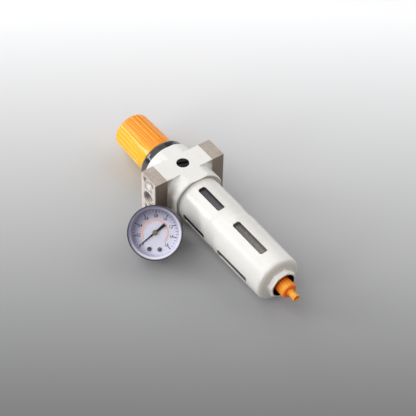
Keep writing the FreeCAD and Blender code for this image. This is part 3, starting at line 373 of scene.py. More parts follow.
# Tones are screen values, sizes are metres and scales are per metre
screwOffset = 0.0145                           # from a plate's port to its screws
unitLine = {"centre": (0.0, 0.0, axisHeight), "axis": (0.0, 1.0, 0.0)}
leftAndDown = (-0.966, 0.0, -0.26)
looks = {
    "body_paint": {
        "tone": screenColour(239, 238, 235), "secondTone": screenColour(234, 232, 228), "driftScale": 45.0,
        "grainScale": 2600.0, "smooth": 0.34, "rough": 0.46, "grainDepth": 0.000012,
        "sides": [
            # painted shade: the faces towards -y are darker
            {"of": "solid", "direction": (0.0, -1.0, 0.0), "low": 0.75, "high": 0.98,
             "tone": screenColour(168, 160, 151)}],
        "zones": [                             # darker in the corners between collar and plates
            # painted shade: the corners between collar and plates are darker
            {"centre": (-0.0205, -0.0125, 0.0), "axis": (0.0, 0.0, 1.0), "radius": 0.0018, "edge": 0.0042,
             "from": 0.0, "to": 0.0385, "amount": 0.85, "tone": screenColour(150, 138, 126)},
            {"centre": (0.0205, -0.0125, 0.0), "axis": (0.0, 0.0, 1.0), "radius": 0.0018, "edge": 0.0042,
             "from": 0.0, "to": 0.0385, "amount": 0.6, "tone": screenColour(160, 148, 136)}],
        "fixed": {"Coat Weight": 0.12, "Coat Roughness": 0.2}},
    "guard_paint": {
        "tone": screenColour(240, 239, 236), "secondTone": screenColour(236, 234, 230), "driftScale": 40.0,
        "grainScale": 1900.0, "smooth": 0.26, "rough": 0.36, "grainDepth": 0.00001,
        "sides": [
            # painted shade: the faces towards -y are darker
            {"of": "solid", "direction": (0.0, -1.0, 0.0), "low": 0.4, "high": 0.7,
             "tone": screenColour(216, 210, 200)}],
        "zones": [                             # the guard's inside in two parts, and the drain's hole
            # painted shade: the guard's inside is dark, darkest in its upper part, and the drain's hole is
            # nearly black
            {**unitLine, "radius": 0.01745, "from": -0.06, "to": 0.0, "tone": screenColour(50, 45, 49)},
            {**unitLine, "radius": 0.01745, "from": -0.1045, "to": -0.06,
             "tone": screenColour(112, 107, 106)},
            {**unitLine, "radius": 0.00935, "from": -0.1227, "to": -0.1, "tone": screenColour(34, 20, 18)}],
        "fixed": {"Coat Weight": 0.3, "Coat Roughness": 0.12}},
    "plate_metal": {
        "tone": screenColour(190, 178, 169), "secondTone": screenColour(171, 159, 149), "driftScale": 90.0,
        "grainScale": 3400.0, "smooth": 0.36, "rough": 0.52, "grainDepth": 0.00002,
        "lineScale": 420.0, "lineStretch": (1.0, 1.0, 0.06), "lineDepth": 0.000008,
        "lineTone": screenColour(202, 190, 182),
        "sides": [
            # painted shade: the faces towards +y and -y are darker
            {"of": "solid", "direction": (0.0, 1.0, 0.0), "low": 0.5, "high": 0.8, "reach": "Either Side",
             "tone": screenColour(140, 127, 115)},
            # painted light: the end faces towards +x and -x are paler
            {"of": "solid", "direction": (1.0, 0.0, 0.0), "low": 0.85, "high": 0.97, "reach": "Either Side",
             "tone": screenColour(248, 238, 230)}],
        "zones": [                             # the counterbores round the screws
            # painted light: the counterbores round the screws are paler
            {"centre": (0.0, 0.0, axisHeight + side * screwOffset), "axis": (1.0, 0.0, 0.0),
             "radius": 0.0047, "amount": 0.7, "tone": screenColour(236, 228, 222)} for side in (-1, 1)],
        "fixed": {"Metallic": 0.25}},
    "thread_metal": {
        "tone": screenColour(208, 202, 198), "secondTone": screenColour(188, 181, 176), "driftScale": 260.0,
        "grainScale": 4200.0, "smooth": 0.3, "rough": 0.45, "grainDepth": 0.000006,
        "fixed": {"Metallic": 0.6}},
    "screw_steel": {
        "tone": screenColour(246, 242, 240), "secondTone": screenColour(232, 229, 227), "driftScale": 220.0,
        "grainScale": 4200.0, "smooth": 0.42, "rough": 0.55, "grainDepth": 0.000006,
        "fixed": {"Metallic": 0.2}},
    "spring_steel": {
        "tone": screenColour(170, 170, 174), "secondTone": screenColour(140, 140, 146), "driftScale": 160.0,
        "grainScale": 3000.0, "smooth": 0.2, "rough": 0.34, "grainDepth": 0.000004,
        "fixed": {"Metallic": 1.0}},
    "seal_rubber": {
        "tone": screenColour(30, 30, 31), "secondTone": screenColour(44, 44, 45), "driftScale": 140.0,
        "grainScale": 5200.0, "smooth": 0.55, "rough": 0.75, "grainDepth": 0.00002},
    "black_nylon": {
        "tone": screenColour(34, 34, 36), "secondTone": screenColour(44, 44, 47), "driftScale": 80.0,
        "grainScale": 3600.0, "smooth": 0.4, "rough": 0.55, "grainDepth": 0.00002},
    "black_gloss": {
        "tone": screenColour(26, 24, 28), "secondTone": screenColour(32, 30, 34), "driftScale": 70.0,
        "grainScale": 2400.0, "smooth": 0.16, "rough": 0.2, "grainDepth": 0.000004,
        "sides": [
            # painted shade: the faces towards +y, on the knob's side, are near black
            {"of": "solid", "direction": (0.0, 1.0, 0.0), "low": 0.2, "high": 0.5,
             "tone": screenColour(7, 6, 9)},
            # painted reflection: the ring's left side is grey
            {"of": "place", "direction": leftAndDown, "low": 0.0065, "high": 0.0095,
             "tone": screenColour(88, 82, 83)}],
        "fixed": {"Coat Weight": 0.5, "Coat Roughness": 0.08}},
    "plug_black": {
        "tone": screenColour(9, 8, 10), "secondTone": screenColour(14, 13, 15), "driftScale": 90.0,
        "grainScale": 3600.0, "smooth": 0.32, "rough": 0.44, "grainDepth": 0.000008,
        "fixed": {"Specular IOR Level": 0.25}},
    "orange_plastic": {
        "tone": screenColour(255, 156, 20), "secondTone": screenColour(254, 149, 14), "driftScale": 55.0,
        "grainScale": 3000.0, "smooth": 0.3, "rough": 0.4, "grainDepth": 0.000006,
        "sides": [
            # painted light: the knob is yellower on its left, lit side
            {"of": "place", "direction": leftAndDown, "low": -0.0034, "high": 0.0034,
             "tone": screenColour(254, 196, 40)}],
        "zones": [                             # the floors of the knob's grooves
            # painted light: the floors of the knob's grooves are paler
            {"centre": (0.0, 0.0279, axisHeight), "axis": (0.0, 1.0, 0.0), "radius": 0.0152, "taper": -0.0196,
             "edge": 0.0002, "amount": 0.3, "tone": screenColour(255, 200, 60)}],
        "fixed": {"Coat Weight": 1.0, "Coat Roughness": 0.2, "Specular IOR Level": 0.0,
                  "Subsurface Weight": 0.1, "Subsurface Scale": 0.001}},
    "drain_orange": {
        "tone": screenColour(255, 126, 26), "secondTone": screenColour(253, 112, 16), "driftScale": 120.0,
        "grainScale": 3600.0, "smooth": 0.3, "rough": 0.4, "grainDepth": 0.000006,
        "sides": [
            # painted light: the faces that point up and to the left are yellower
            {"of": "world", "direction": (-0.6, 0.0, 0.8), "low": 0.4, "high": 1.0,
             "tone": screenColour(255, 178, 52)},
            # painted shade: the part next to the guard is redder and darker
            {"of": "place", "direction": (0.0, 1.0, 0.0), "low": -0.127, "high": -0.1215,
             "tone": screenColour(236, 84, 8)},
            # painted light: the nipple at the far end is yellower
            {"of": "place", "direction": (0.0, -1.0, 0.0), "low": 0.1302, "high": 0.1312,
             "tone": screenColour(255, 174, 54)},
            # painted shade: the faces towards -y are redder
            {"of": "solid", "direction": (0.0, -1.0, 0.0), "low": 0.6, "high": 0.9,
             "tone": screenColour(255, 112, 16)}],
        "fixed": {"Coat Weight": 0.8, "Coat Roughness": 0.12, "Specular IOR Level": 0.0,
                  "Subsurface Weight": 0.1, "Subsurface Scale": 0.001}},
    "brass_parts": {
        "tone": screenColour(196, 160, 92), "secondTone": screenColour(170, 132, 70), "driftScale": 130.0,
        "grainScale": 3800.0, "smooth": 0.22, "rough": 0.36, "grainDepth": 0.000006,
        "fixed": {"Metallic": 1.0}},
    "filter_white": {
        "tone": screenColour(232, 229, 220), "secondTone": screenColour(214, 210, 198), "driftScale": 300.0,
        "grainScale": 2200.0, "smooth": 0.7, "rough": 0.9, "grainDepth": 0.00012},
    "grey_plastic": {
        "tone": screenColour(150, 152, 156), "secondTone": screenColour(138, 140, 145), "driftScale": 90.0,
        "grainScale": 3200.0, "smooth": 0.4, "rough": 0.55, "grainDepth": 0.000015},
    "disc_metal": {
        "tone": screenColour(190, 190, 192), "secondTone": screenColour(170, 170, 174), "driftScale": 100.0,
        "grainScale": 4000.0, "smooth": 0.25, "rough": 0.4, "grainDepth": 0.000006,
        "fixed": {"Metallic": 1.0}},
    "case_paint": {
        "tone": screenColour(62, 58, 76), "secondTone": screenColour(54, 50, 66), "driftScale": 50.0,
        "grainScale": 2400.0, "smooth": 0.24, "rough": 0.34, "grainDepth": 0.000006,
        "fixed": {"Coat Weight": 0.4, "Coat Roughness": 0.12}},
    "dial_white": {
        "tone": screenColour(150, 147, 172), "secondTone": screenColour(142, 139, 165), "driftScale": 90.0,
        "grainScale": 4200.0, "smooth": 0.5, "rough": 0.62, "grainDepth": 0.000004,
        "zones": [
            # painted shadow: the dial is dark round its edge and light only in a middle set off to the lower
            # right
            {"centre": dialPlace @ Vector((0.0036, -0.0036, 0.0)), "axis": dialOut, "radius": 0.0112,
             "edge": 0.0072, "tone": screenColour(238, 238, 255)}]},
    "dial_edge": {
        "tone": screenColour(206, 202, 230), "secondTone": screenColour(196, 192, 222), "driftScale": 110.0,
        "grainScale": 3600.0, "smooth": 0.35, "rough": 0.5, "grainDepth": 0.000004,
        "zones": [
            # painted shade: the ring is light only in a zone set off to the lower right
            {"centre": dialPlace @ Vector((0.0025, -0.0025, 0.0)), "axis": dialOut, "radius": 0.0155,
             "edge": 0.004, "tone": screenColour(226, 227, 248)}]},
    "orange_print": {
        "tone": screenColour(252, 202, 182), "secondTone": screenColour(250, 194, 172), "driftScale": 300.0,
        "grainScale": 5200.0, "smooth": 0.55, "rough": 0.7, "grainDepth": 0.000002},
    "dark_steel": {
        "tone": screenColour(92, 82, 84), "secondTone": screenColour(70, 62, 66), "driftScale": 400.0,
        "grainScale": 4800.0, "smooth": 0.25, "rough": 0.4, "grainDepth": 0.000004,
        "sides": [
            # painted highlight: the screws' faces towards the dial's upper left are near white
            {"of": "solid", "direction": dialUpLeft, "low": 0.25, "high": 0.6,
             "tone": screenColour(252, 244, 232)}],
        "fixed": {"Metallic": 0.4}},
    "aged_brass": {
        "tone": screenColour(122, 110, 88), "secondTone": screenColour(100, 88, 70), "driftScale": 400.0,
        "grainScale": 4200.0, "smooth": 0.28, "rough": 0.42, "grainDepth": 0.000004,
        "fixed": {"Metallic": 0.5}},
    "dark_paint": {
        "tone": screenColour(8, 6, 12), "secondTone": screenColour(16, 14, 20), "driftScale": 120.0,
        "grainScale": 4200.0, "smooth": 0.45, "rough": 0.6, "grainDepth": 0.000004,
        "fixed": {"Specular IOR Level": 0.15}},
}
finishes = {name: makeFinish(name, look) for name, look in looks.items()}


# Smoky bowl: tinted, with painted shade that makes it darker towards its top, clear to look through, with
# faint moulding haze in its gloss
def makeSmokedFinish():
    look = {"shadedTopTint": screenColour(124, 118, 132), "endTint": screenColour(214, 208, 202),
            "top": -0.03, "end": -0.105, "haze": 900.0, "smooth": 0.1, "rough": 0.2,
            "clear": 0.72, "ior": 1.45}
    material = bpy.data.materials.new("smoked_bowl")
    material.use_nodes = True
    tree = material.node_tree
    shader = tree.nodes["Principled BSDF"]
    place = tree.nodes.new("ShaderNodeTexCoord").outputs["Object"]
    grain = placeEffect(tree, "grain", place, {
        "Scale": look["haze"], "Smooth": look["smooth"], "Rough": look["rough"]})
    tree.links.new(grain.outputs["Roughness"], shader.inputs["Roughness"])
    split = tree.nodes.new("ShaderNodeSeparateXYZ")
    tree.links.new(place, split.inputs[0])
    # painted shade: darker towards the top
    share = rangeNode(tree, split.outputs["Y"], look["top"], look["end"], 0.0, 1.0)
    tree.links.new(mixColour(tree, share, look["shadedTopTint"], look["endTint"]), shader.inputs["Base Color"])
    shader.inputs["Transmission Weight"].default_value = look["clear"]
    shader.inputs["IOR"].default_value = look["ior"]
    return material


# Lens: nearly all see-through face on, denser at a grazing angle, with a frosted rim; its colour has painted
# shade, light only in a zone set off to the lower right
def makeLensFinish():
    look = {"tone": screenColour(132, 128, 152), "litLowerTone": screenColour(246, 246, 255), "clear": 0.012,
            "grazing": 0.4, "rim": 0.85, "rimStart": 0.0172, "toneStart": 0.0166, "toneSpread": 0.0032,
            "toneShift": (0.0016, -0.0016, 0.0), "roughness": 0.04, "ior": 1.49, "blend": 0.25}
    material = bpy.data.materials.new("clear_lens")
    material.use_nodes = True
    tree = material.node_tree
    shader = tree.nodes["Principled BSDF"]
    shader.inputs["Roughness"].default_value = look["roughness"]
    shader.inputs["IOR"].default_value = look["ior"]
    weight = tree.nodes.new("ShaderNodeLayerWeight")
    weight.inputs["Blend"].default_value = look["blend"]
    pane = rangeNode(tree, weight.outputs["Facing"], 0.0, 1.0, look["clear"], look["grazing"])
    place = tree.nodes.new("ShaderNodeTexCoord").outputs["Object"]
    zone = placeEffect(tree, "zone", place, {
        "Centre": dialPlace.translation, "Axis": dialOut, "Radius": look["rimStart"]})
    alpha = rangeNode(tree, zone.outputs["Mask"], 0.0, 1.0, look["rim"], pane)
    tree.links.new(alpha, shader.inputs["Alpha"])
    # painted shade: the lens is light only in a zone set off to the lower right
    litLower = placeEffect(tree, "zone", place, {
        "Centre": dialPlace @ Vector(look["toneShift"]), "Axis": dialOut,
        "Radius": look["toneStart"], "Edge": look["toneSpread"]})
    colour = mixColour(tree, litLower.outputs["Mask"], look["tone"], look["litLowerTone"])
    tree.links.new(colour, shader.inputs["Base Color"])
    return material


finishes["smoked_bowl"] = makeSmokedFinish()
finishes["clear_lens"] = makeLensFinish()
print("finishes made:", len(finishes))


solidMerge = 0.000002                          # corners of a solid's loose triangles closer than this are one
formMerge = 0.000001                           # the same for new forms


# A dressed copy of a solid: merged, shaded smooth up to an angle, and riding on the solid's body
def dressNode(name, finish, angle):
    source = nodes[name]
    piece = source.copy()
    piece.data = source.data.copy()
    piece.name = name + "_dressed"
    piece.parent = None
    for key in list(piece.keys()):
        del piece[key]
    bpy.context.scene.collection.objects.link(piece)
    pick(piece)
    bpy.ops.object.mode_set(mode="EDIT")
    bpy.ops.mesh.select_all(action="SELECT")
    bpy.ops.mesh.remove_doubles(threshold=solidMerge)
    bpy.ops.object.mode_set(mode="OBJECT")
    bpy.ops.object.shade_smooth_by_angle(angle=math.radians(angle))
    weigh = piece.modifiers.new("weighNormals", "WEIGHTED_NORMAL")
    weigh.mode = "FACE_AREA_WITH_ANGLE"
    weigh.keep_sharp = True
    bpy.ops.object.modifier_apply(modifier=weigh.name)
    piece.data.materials.clear()
    piece.data.materials.append(finishes[finish])
    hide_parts(name)
    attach(piece, source["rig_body"])
    return piece


slotOf = {entry["node"]: entry["material_slot"] for entry in frame["record"]["subparts"]}
finishOf = dict(slotOf)                        # a few nodes have a finish of their own within their slot
finishOf.update({
    "drain_knob": "drain_orange", "drain_stem": "drain_orange", "front_plug": "plug_black",
    "gauge_needle_hub": "aged_brass", "gauge_dial_ring": "dial_edge", "gauge_dial_screws": "dark_steel"})
smoothAngle = 28.0                             # degrees up to which a solid is shaded smooth
sharperAngle = {"housing": 13.0, "bowl_guard": 22.0, "knob": 24.0, "gauge_lens": 20.0}
dressed = {}
for nodeName in nodes:
    angle = sharperAngle.get(nodeName, smoothAngle)
    dressed[nodeName] = dressNode(nodeName, finishOf[nodeName], angle)
print("solids dressed:", len(dressed))

# Each spring gets a mesh of its own; the joint and anchor listed for it are not used here
springs = {
    "range_spring": {"joint": "spring_set", "anchorAt": "top"},
    "valve_spring": {"joint": "valve_stroke", "anchorAt": "foot"},
}
for nodeName, spring in springs.items():
    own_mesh(dressed[nodeName])


# Puts a finished piece on a body, named and in a finish
def settle(piece, name, finish, body):
    piece.name = name
    piece.data.name = name
    piece.data.materials.clear()
    piece.data.materials.append(finishes[finish])
    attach(piece, body)


# Leaves a piece with nothing selected in it, ready for its vertices to be picked by their place
def clearPiece(piece):
    pick(piece)
    bpy.ops.object.mode_set(mode="EDIT")
    bpy.ops.mesh.select_mode(type="VERT")
    bpy.ops.mesh.select_all(action="DESELECT")
    bpy.ops.object.mode_set(mode="OBJECT")


def joinAll(pieces):
    pick(pieces[0])
    for piece in pieces:
        piece.select_set(True)
    bpy.ops.object.join()
    return bpy.context.object


# Dial print: a scale of ticks with numbers and an inner arc, as thin films on the dial, in mm and degrees
dialPrint = {
    "film": 0.03, "lift": 0.01, "bevelShare": 0.3, "zero": 225.0, "sweep": 270.0, "steps": 8, "parts": 4,
    "tickOuter": 15.9, "longTick": (2.3, 0.55), "shortTick": (1.2, 0.28),
    "arcRadius": 9.2, "arcWidth": 1.15, "arcFrom": -44.0, "arcTo": 211.0, "arcPieces": 72,
    "arcTick": (1.1, 0.4), "arcTickOuter": 8.5,
    "labels": ("0", "0,2", "0,4", "0,6", "0,8", "1,0", "1,2", "1,4", "1,6"),
    "labelBold": 0.05, "labelRadius": 11.9, "labelSize": 3.1, "labelWidth": 0.84,
    "labelSpacing": 0.9, "labelCurve": 4,
}


# A thin bar that points at the dial's middle, modelled once and copied round
def makeBars(outer, size, turns):
    length, width = size
    film = dialPrint["film"]
    deselectAll()
    bpy.ops.mesh.primitive_cube_add(size=mm, location=(0.0, 0.0, 0.0))
    first = bpy.context.object
    bpy.ops.object.mode_set(mode="EDIT")
    bpy.ops.mesh.select_all(action="SELECT")
    bpy.ops.transform.resize(value=(length, width, film))
    bpy.ops.transform.translate(value=((outer - length / 2) * mm, 0.0, (dialPrint["lift"] + film / 2) * mm))
    bpy.ops.mesh.bevel(offset=film * mm * dialPrint["bevelShare"], segments=1)
    bpy.ops.object.mode_set(mode="OBJECT")
    first.data.transform(first.matrix_basis)
    first.matrix_basis = Matrix.Identity(4)
    bars = []
    for turn in turns:
        bar = first.copy()
        bar.data = first.data.copy()
        bpy.context.scene.collection.objects.link(bar)
        bar.data.transform(Matrix.Rotation(math.radians(turn), 4, "Z"))
        bars.append(bar)
    bpy.data.objects.remove(first)
    return bars


# The arc starts as one edge, which spins clockwise round the dial's middle and gets its thickness
def makeArc():
    deselectAll()
    bpy.ops.mesh.primitive_plane_add(size=dialPrint["arcWidth"] * mm, location=(0.0, 0.0, 0.0))
    arc = bpy.context.object
    half = dialPrint["arcWidth"] / 2 * mm
    clearPiece(arc)
    for vertex in arc.data.vertices:
        vertex.select = vertex.co.y > half / 2
    bpy.ops.object.mode_set(mode="EDIT")
    bpy.ops.mesh.delete(type="VERT")
    bpy.ops.mesh.select_all(action="SELECT")
    bpy.ops.transform.translate(value=(dialPrint["arcRadius"] * mm, half, dialPrint["lift"] * mm))
    span = dialPrint["arcTo"] - dialPrint["arcFrom"]
    bpy.ops.mesh.spin(steps=dialPrint["arcPieces"], angle=math.radians(span),
                      center=(0.0, 0.0, 0.0), axis=(0.0, 0.0, 1.0))
    bpy.ops.mesh.select_all(action="SELECT")
    bpy.ops.mesh.remove_doubles(threshold=formMerge)
    bpy.ops.mesh.normals_make_consistent(inside=False)
    bpy.ops.object.mode_set(mode="OBJECT")
    arc.data.transform(Matrix.Rotation(math.radians(dialPrint["arcTo"]), 4, "Z"))
    thicken = arc.modifiers.new("film", "SOLIDIFY")
    thicken.thickness = dialPrint["film"] * mm
    thicken.offset = 1.0
    pick(arc)
    bpy.ops.object.modifier_apply(modifier=thicken.name)
    return arc


def makeNumbers():
    numbers = []
    step = dialPrint["sweep"] / dialPrint["steps"]
    for index, label in enumerate(dialPrint["labels"]):
        turn = math.radians(dialPrint["zero"] - index * step)
        deselectAll()
        bpy.ops.object.text_add(location=(0.0, 0.0, 0.0))
        number = bpy.context.object
        number.data.body = label
        number.data.align_x = "CENTER"
        number.data.align_y = "CENTER"
        number.data.size = dialPrint["labelSize"] * mm
        number.data.space_character = dialPrint["labelSpacing"]
        number.data.extrude = dialPrint["film"] / 2 * mm
        number.data.offset = dialPrint["labelBold"] * mm
        number.data.resolution_u = dialPrint["labelCurve"]
        bpy.ops.object.convert(target="MESH")
        number = bpy.context.object
        radius = dialPrint["labelRadius"] * mm
        height = (dialPrint["lift"] + dialPrint["film"] / 2) * mm
        number.data.transform(Matrix.Diagonal((dialPrint["labelWidth"], 1.0, 1.0, 1.0)))
        number.data.transform(Matrix.Translation((radius * math.cos(turn), radius * math.sin(turn), height)))
        numbers.append(number)
    return numbers


# Ticks and numbers take the dark paint finish and the arc an orange print finish, for which the record has no
# slot. All the print sits under the record's slot for dark paint, because the record has none for orange
# print
def printDial():
    step = dialPrint["sweep"] / dialPrint["steps"]
    longTurns = [dialPrint["zero"] - index * step for index in range(dialPrint["steps"] + 1)]
    shortTurns = [turn - part * step / dialPrint["parts"] for turn in longTurns[:-1]
                  for part in range(1, dialPrint["parts"])]
    ticks = makeBars(dialPrint["tickOuter"], dialPrint["longTick"], longTurns)
    ticks += makeBars(dialPrint["tickOuter"], dialPrint["shortTick"], shortTurns)
    scale = joinAll(ticks)
    numbers = joinAll(makeNumbers())
    arcTurns = [turn for turn in longTurns if dialPrint["arcFrom"] <= turn <= dialPrint["arcTo"]]
    arc = joinAll([makeArc()] + makeBars(dialPrint["arcTickOuter"], dialPrint["arcTick"], arcTurns))
    for piece, name, finish in ((scale, "dial_ticks", "dark_paint"), (numbers, "dial_numbers", "dark_paint"),
                                (arc, "dial_arc", "orange_print")):
        piece.data.transform(dialPlace)
        settle(piece, name, finish, nodes["gauge_dial"]["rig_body"])


printDial()
print("dial printed")


threadSmoothAngle = 30.0


# A screw thread: a three-sided profile wound round z by a screw modifier, then laid in its place
def windThread(name, thread, place, body):
    deselectAll()
    depth = abs(thread["crest"] - thread["root"])
    bpy.ops.mesh.primitive_circle_add(vertices=3, radius=depth * mm, fill_type="NOTHING",
                                      location=(0.0, 0.0, 0.0))
    ridge = bpy.context.object
    half = thread["pitch"] * thread["flank"] * mm
    corners = ((thread["root"] * mm, -half), (thread["crest"] * mm, 0.0), (thread["root"] * mm, half))
    for vertex, (radius, level) in zip(ridge.data.vertices, corners):
        vertex.co = (radius, 0.0, level)
    wind = ridge.modifiers.new("wind", "SCREW")
    wind.axis = "Z"
    wind.angle = math.tau
    wind.screw_offset = thread["pitch"] * mm
    wind.iterations = thread["turns"]
    wind.steps = thread["steps"]
    wind.render_steps = thread["steps"]
    wind.use_merge_vertices = False
    pick(ridge)
    bpy.ops.object.modifier_apply(modifier=wind.name)
    bpy.ops.object.mode_set(mode="EDIT")
    bpy.ops.mesh.select_all(action="SELECT")
    bpy.ops.mesh.remove_doubles(threshold=formMerge)
    bpy.ops.mesh.select_mode(type="EDGE")
    bpy.ops.mesh.select_all(action="DESELECT")
    bpy.ops.mesh.select_non_manifold()
    bpy.ops.mesh.edge_face_add()
    bpy.ops.mesh.select_all(action="SELECT")
    bpy.ops.mesh.normals_make_consistent(inside=False)
    bpy.ops.object.mode_set(mode="OBJECT")
    bpy.ops.object.shade_smooth_by_angle(angle=math.radians(threadSmoothAngle))
    ridge.data.transform(place @ Matrix.Translation((0.0, 0.0, thread["start"] * mm)))
    settle(ridge, name, thread["finish"], body)
    print("thread wound:", name)


# Radii, pitch and start in mm; flank is the share of the pitch on each side of the crest
threads = {
    "port": {"root": 5.78, "crest": 5.3, "pitch": 1.337, "flank": 0.47, "turns": 7, "steps": 48,
             "start": 1.2, "finish": "thread_metal"},
    "gaugePort": {"root": 4.38, "crest": 3.98, "pitch": 0.907, "flank": 0.47, "turns": 7, "steps": 40,
                  "start": 0.7, "finish": "body_paint"},
    "stem": {"root": 4.38, "crest": 4.84, "pitch": 0.907, "flank": 0.47, "turns": 8, "steps": 40,
             "start": 1.2, "finish": "brass_parts"},
}
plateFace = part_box("right_plate")[1].x
inletPlace = Matrix.Translation((-plateFace, 0.0, axisHeight)) @ Matrix.Rotation(math.radians(90.0), 4, "Y")
outletPlace = Matrix.Translation((plateFace, 0.0, axisHeight)) @ Matrix.Rotation(math.radians(-90.0), 4, "Y")
windThread("inlet_thread", threads["port"], inletPlace, nodes["left_plate"]["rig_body"])
windThread("outlet_thread", threads["port"], outletPlace, nodes["right_plate"]["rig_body"])
windThread("rear_port_thread", threads["gaugePort"], Matrix.Identity(4),
           nodes["housing"]["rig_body"])

nearBy = 0.05 * mm                             # how near a vertex lies to an edge that is picked by its place

# The gauge's stem: its threaded length is turned down to the thread's root, and the ridge stands on it
stem = {"length": 34.4, "chamferEnd": 0.7, "threadEnd": 9.1, "outer": 4.86, "root": 4.42}
stemPlace = dialPlace @ Matrix.Translation((0.0, 0.0, -stem["length"] * mm))


def turnDownStem():
    piece = dressed["gauge_stem"]
    piece.data.transform(stemPlace.inverted())
    clearPiece(piece)
    for vertex in piece.data.vertices:
        across = math.hypot(vertex.co.x, vertex.co.y)
        inside = stem["chamferEnd"] * mm < vertex.co.z < stem["threadEnd"] * mm
        vertex.select = inside and abs(across - stem["outer"] * mm) < nearBy
    bpy.ops.object.mode_set(mode="EDIT")
    share = stem["root"] / stem["outer"]
    bpy.ops.transform.resize(value=(share, share, 1.0), center_override=(0.0, 0.0, 0.0))
    bpy.ops.object.mode_set(mode="OBJECT")
    piece.data.transform(stemPlace)


turnDownStem()
windThread("gauge_stem_thread", threads["stem"], stemPlace, nodes["gauge_stem"]["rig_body"])

# The ring nut's outer edge on the knob's side has a long chamfer
ringEdge = {"radius": 19.3, "level": 26.7, "reach": 0.9}


def lengthenRingChamfer():
    piece = dressed["ring_nut"]
    clearPiece(piece)
    for vertex in piece.data.vertices:
        across = math.hypot(vertex.co.x, vertex.co.z - axisHeight)
        level = abs(vertex.co.y - ringEdge["level"] * mm) < nearBy
        vertex.select = level and abs(across - ringEdge["radius"] * mm) < nearBy
    bpy.ops.object.mode_set(mode="EDIT")
    bpy.ops.transform.translate(value=(0.0, -ringEdge["reach"] * mm, 0.0))
    bpy.ops.object.mode_set(mode="OBJECT")


lengthenRingChamfer()
print("threads and edges shaped")


# The photograph's view: a point in mm on the object, the pixel where it shows, and the scale there
view = {"azimuth": -36.6, "elevation": 45.9, "roll": 1.57, "focalPixels": 1500.0, "framePixels": 416.0,
        "pointMm": (0.0, 0.0, 40.0), "pointPixel": (182.84, 162.78), "pixelsPerMm": 1.369,
        "sensorWidth": 36.0, "clipStart": 0.01}


def viewAxes():
    azimuth = math.radians(view["azimuth"])
    elevation = math.radians(view["elevation"])
    roll = math.radians(view["roll"])
    forward = Vector((-math.sin(azimuth) * math.cos(elevation), math.cos(azimuth) * math.cos(elevation),
                      -math.sin(elevation)))
    right = Vector((math.cos(azimuth), math.sin(azimuth), 0.0))
    up = right.cross(forward)
    turnedRight = right * math.cos(roll) + up * math.sin(roll)
    turnedUp = up * math.cos(roll) - right * math.sin(roll)
    return turnedRight, turnedUp, forward


def addCamera():
    right, up, forward = viewAxes()
    distance = view["focalPixels"] / view["pixelsPerMm"]
    centre = view["framePixels"] / 2
    across = (view["pointPixel"][0] - centre) / view["focalPixels"] * distance
    above = (centre - view["pointPixel"][1]) / view["focalPixels"] * distance
    place = (Vector(view["pointMm"]) - right * across - up * above - forward * distance) * mm
    data = bpy.data.cameras.new("photoCamera")
    data.sensor_width = view["sensorWidth"]
    data.lens = view["focalPixels"] / view["framePixels"] * view["sensorWidth"]
    data.clip_start = view["clipStart"]
    camera = bpy.data.objects.new("photoCamera", data)
    bpy.context.scene.collection.objects.link(camera)
    camera.matrix_world = Matrix((
        (right.x, up.x, -forward.x, place.x),
        (right.y, up.y, -forward.y, place.y),
        (right.z, up.z, -forward.z, place.z),
        (0.0, 0.0, 0.0, 1.0)))
    bpy.context.scene.camera = camera


# The floor is darker near the front and paler behind, as in the photograph
# painted shade: the floor's colour itself is darker towards the front
floor = {"size": 8.0, "gap": 0.00005, "middle": 0.765, "slope": 1.794, "darkest": 0.49, "palest": 1.0,
         "power": 2.2, "balance": (1.0, 1.01, 1.03), "roughness": 0.9, "specular": 0.1}


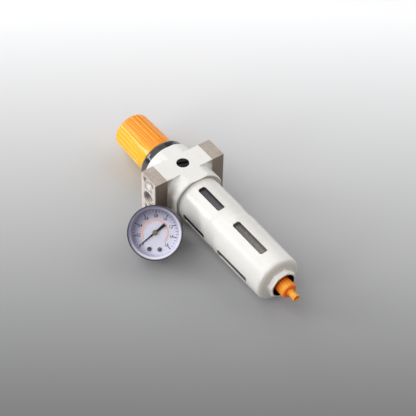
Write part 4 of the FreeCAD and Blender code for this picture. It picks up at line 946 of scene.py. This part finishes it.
def addFloor():
    deselectAll()
    bpy.ops.mesh.primitive_plane_add(size=floor["size"], location=(0.0, 0.0, cadLow.z - floor["gap"]))
    ground = bpy.context.object
    ground.name = "floor"
    material = bpy.data.materials.new("floorFinish")
    material.use_nodes = True
    tree = material.node_tree
    shader = tree.nodes["Principled BSDF"]
    place = tree.nodes.new("ShaderNodeTexCoord").outputs["Object"]
    forward = viewAxes()[2]
    along = tree.nodes.new("ShaderNodeVectorMath")
    along.operation = "DOT_PRODUCT"
    along.inputs[1].default_value = Vector((forward.x, forward.y, 0.0)).normalized()
    tree.links.new(place, along.inputs[0])
    lift = mathNode(tree, "MULTIPLY", along.outputs["Value"], -forward.z)
    depth = mathNode(tree, "MULTIPLY", along.outputs["Value"], math.hypot(forward.x, forward.y))
    depth = mathNode(tree, "ADD", depth, view["focalPixels"] / view["pixelsPerMm"] * mm)
    slope = mathNode(tree, "MULTIPLY", mathNode(tree, "DIVIDE", lift, depth), floor["slope"])
    share = mathNode(tree, "ADD", slope, floor["middle"])
    share = mathNode(tree, "MINIMUM", mathNode(tree, "MAXIMUM", share, floor["darkest"]), floor["palest"])
    tone = tree.nodes.new("ShaderNodeCombineColor")
    level = mathNode(tree, "POWER", share, floor["power"])
    for channel, balance in enumerate(floor["balance"]):
        tree.links.new(mathNode(tree, "MULTIPLY", level, balance), tone.inputs[channel])
    tree.links.new(tone.outputs["Color"], shader.inputs["Base Color"])
    shader.inputs["Roughness"].default_value = floor["roughness"]
    shader.inputs["Specular IOR Level"].default_value = floor["specular"]
    ground.data.materials.append(material)


# Soft square lamps, each at the same distance in its direction and facing the object, and a faint world
lamps = [
    {"name": "keyPanel", "from": (-0.62, 0.16, 0.76), "size": 3.2, "level": 0.395},
    {"name": "sidePanel", "from": (-0.64, 0.645, 0.42), "size": 0.9, "level": 0.2},
    {"name": "leftPanel", "from": (-0.95, -0.1, 0.3), "size": 0.8, "level": 0.19},
    {"name": "frontPanel", "from": (-0.415, -0.559, 0.718), "size": 1.8, "level": 0.115},
    {"name": "backPanel", "from": (0.0, 0.8, 0.6), "size": 3.0, "level": 0.295},
    {"name": "rightPanel", "from": (0.75, -0.2, 0.6), "size": 3.0, "level": 0.35},
]
studio = {"lampDistance": 3.0, "ambient": 0.293, "ambientTone": (1.0, 0.98, 0.95, 1.0)}


def addLamps():
    for lamp in lamps:
        data = bpy.data.lights.new(lamp["name"], "AREA")
        data.shape = "SQUARE"
        data.size = lamp["size"]
        data.energy = lamp["level"] * math.pi ** 2 * studio["lampDistance"] ** 2
        panel = bpy.data.objects.new(lamp["name"], data)
        direction = Vector(lamp["from"]).normalized()
        panel.location = direction * studio["lampDistance"]
        panel.rotation_euler = direction.to_track_quat("Z", "Y").to_euler()
        bpy.context.scene.collection.objects.link(panel)
    world = bpy.data.worlds.new("studio")
    bpy.context.scene.world = world
    world.use_nodes = True
    background = world.node_tree.nodes["Background"]
    background.inputs["Color"].default_value = studio["ambientTone"]
    background.inputs["Strength"].default_value = studio["ambient"]


addCamera()
addFloor()
addLamps()
bpy.context.scene.view_settings.view_transform = "Standard"
print("stage set")
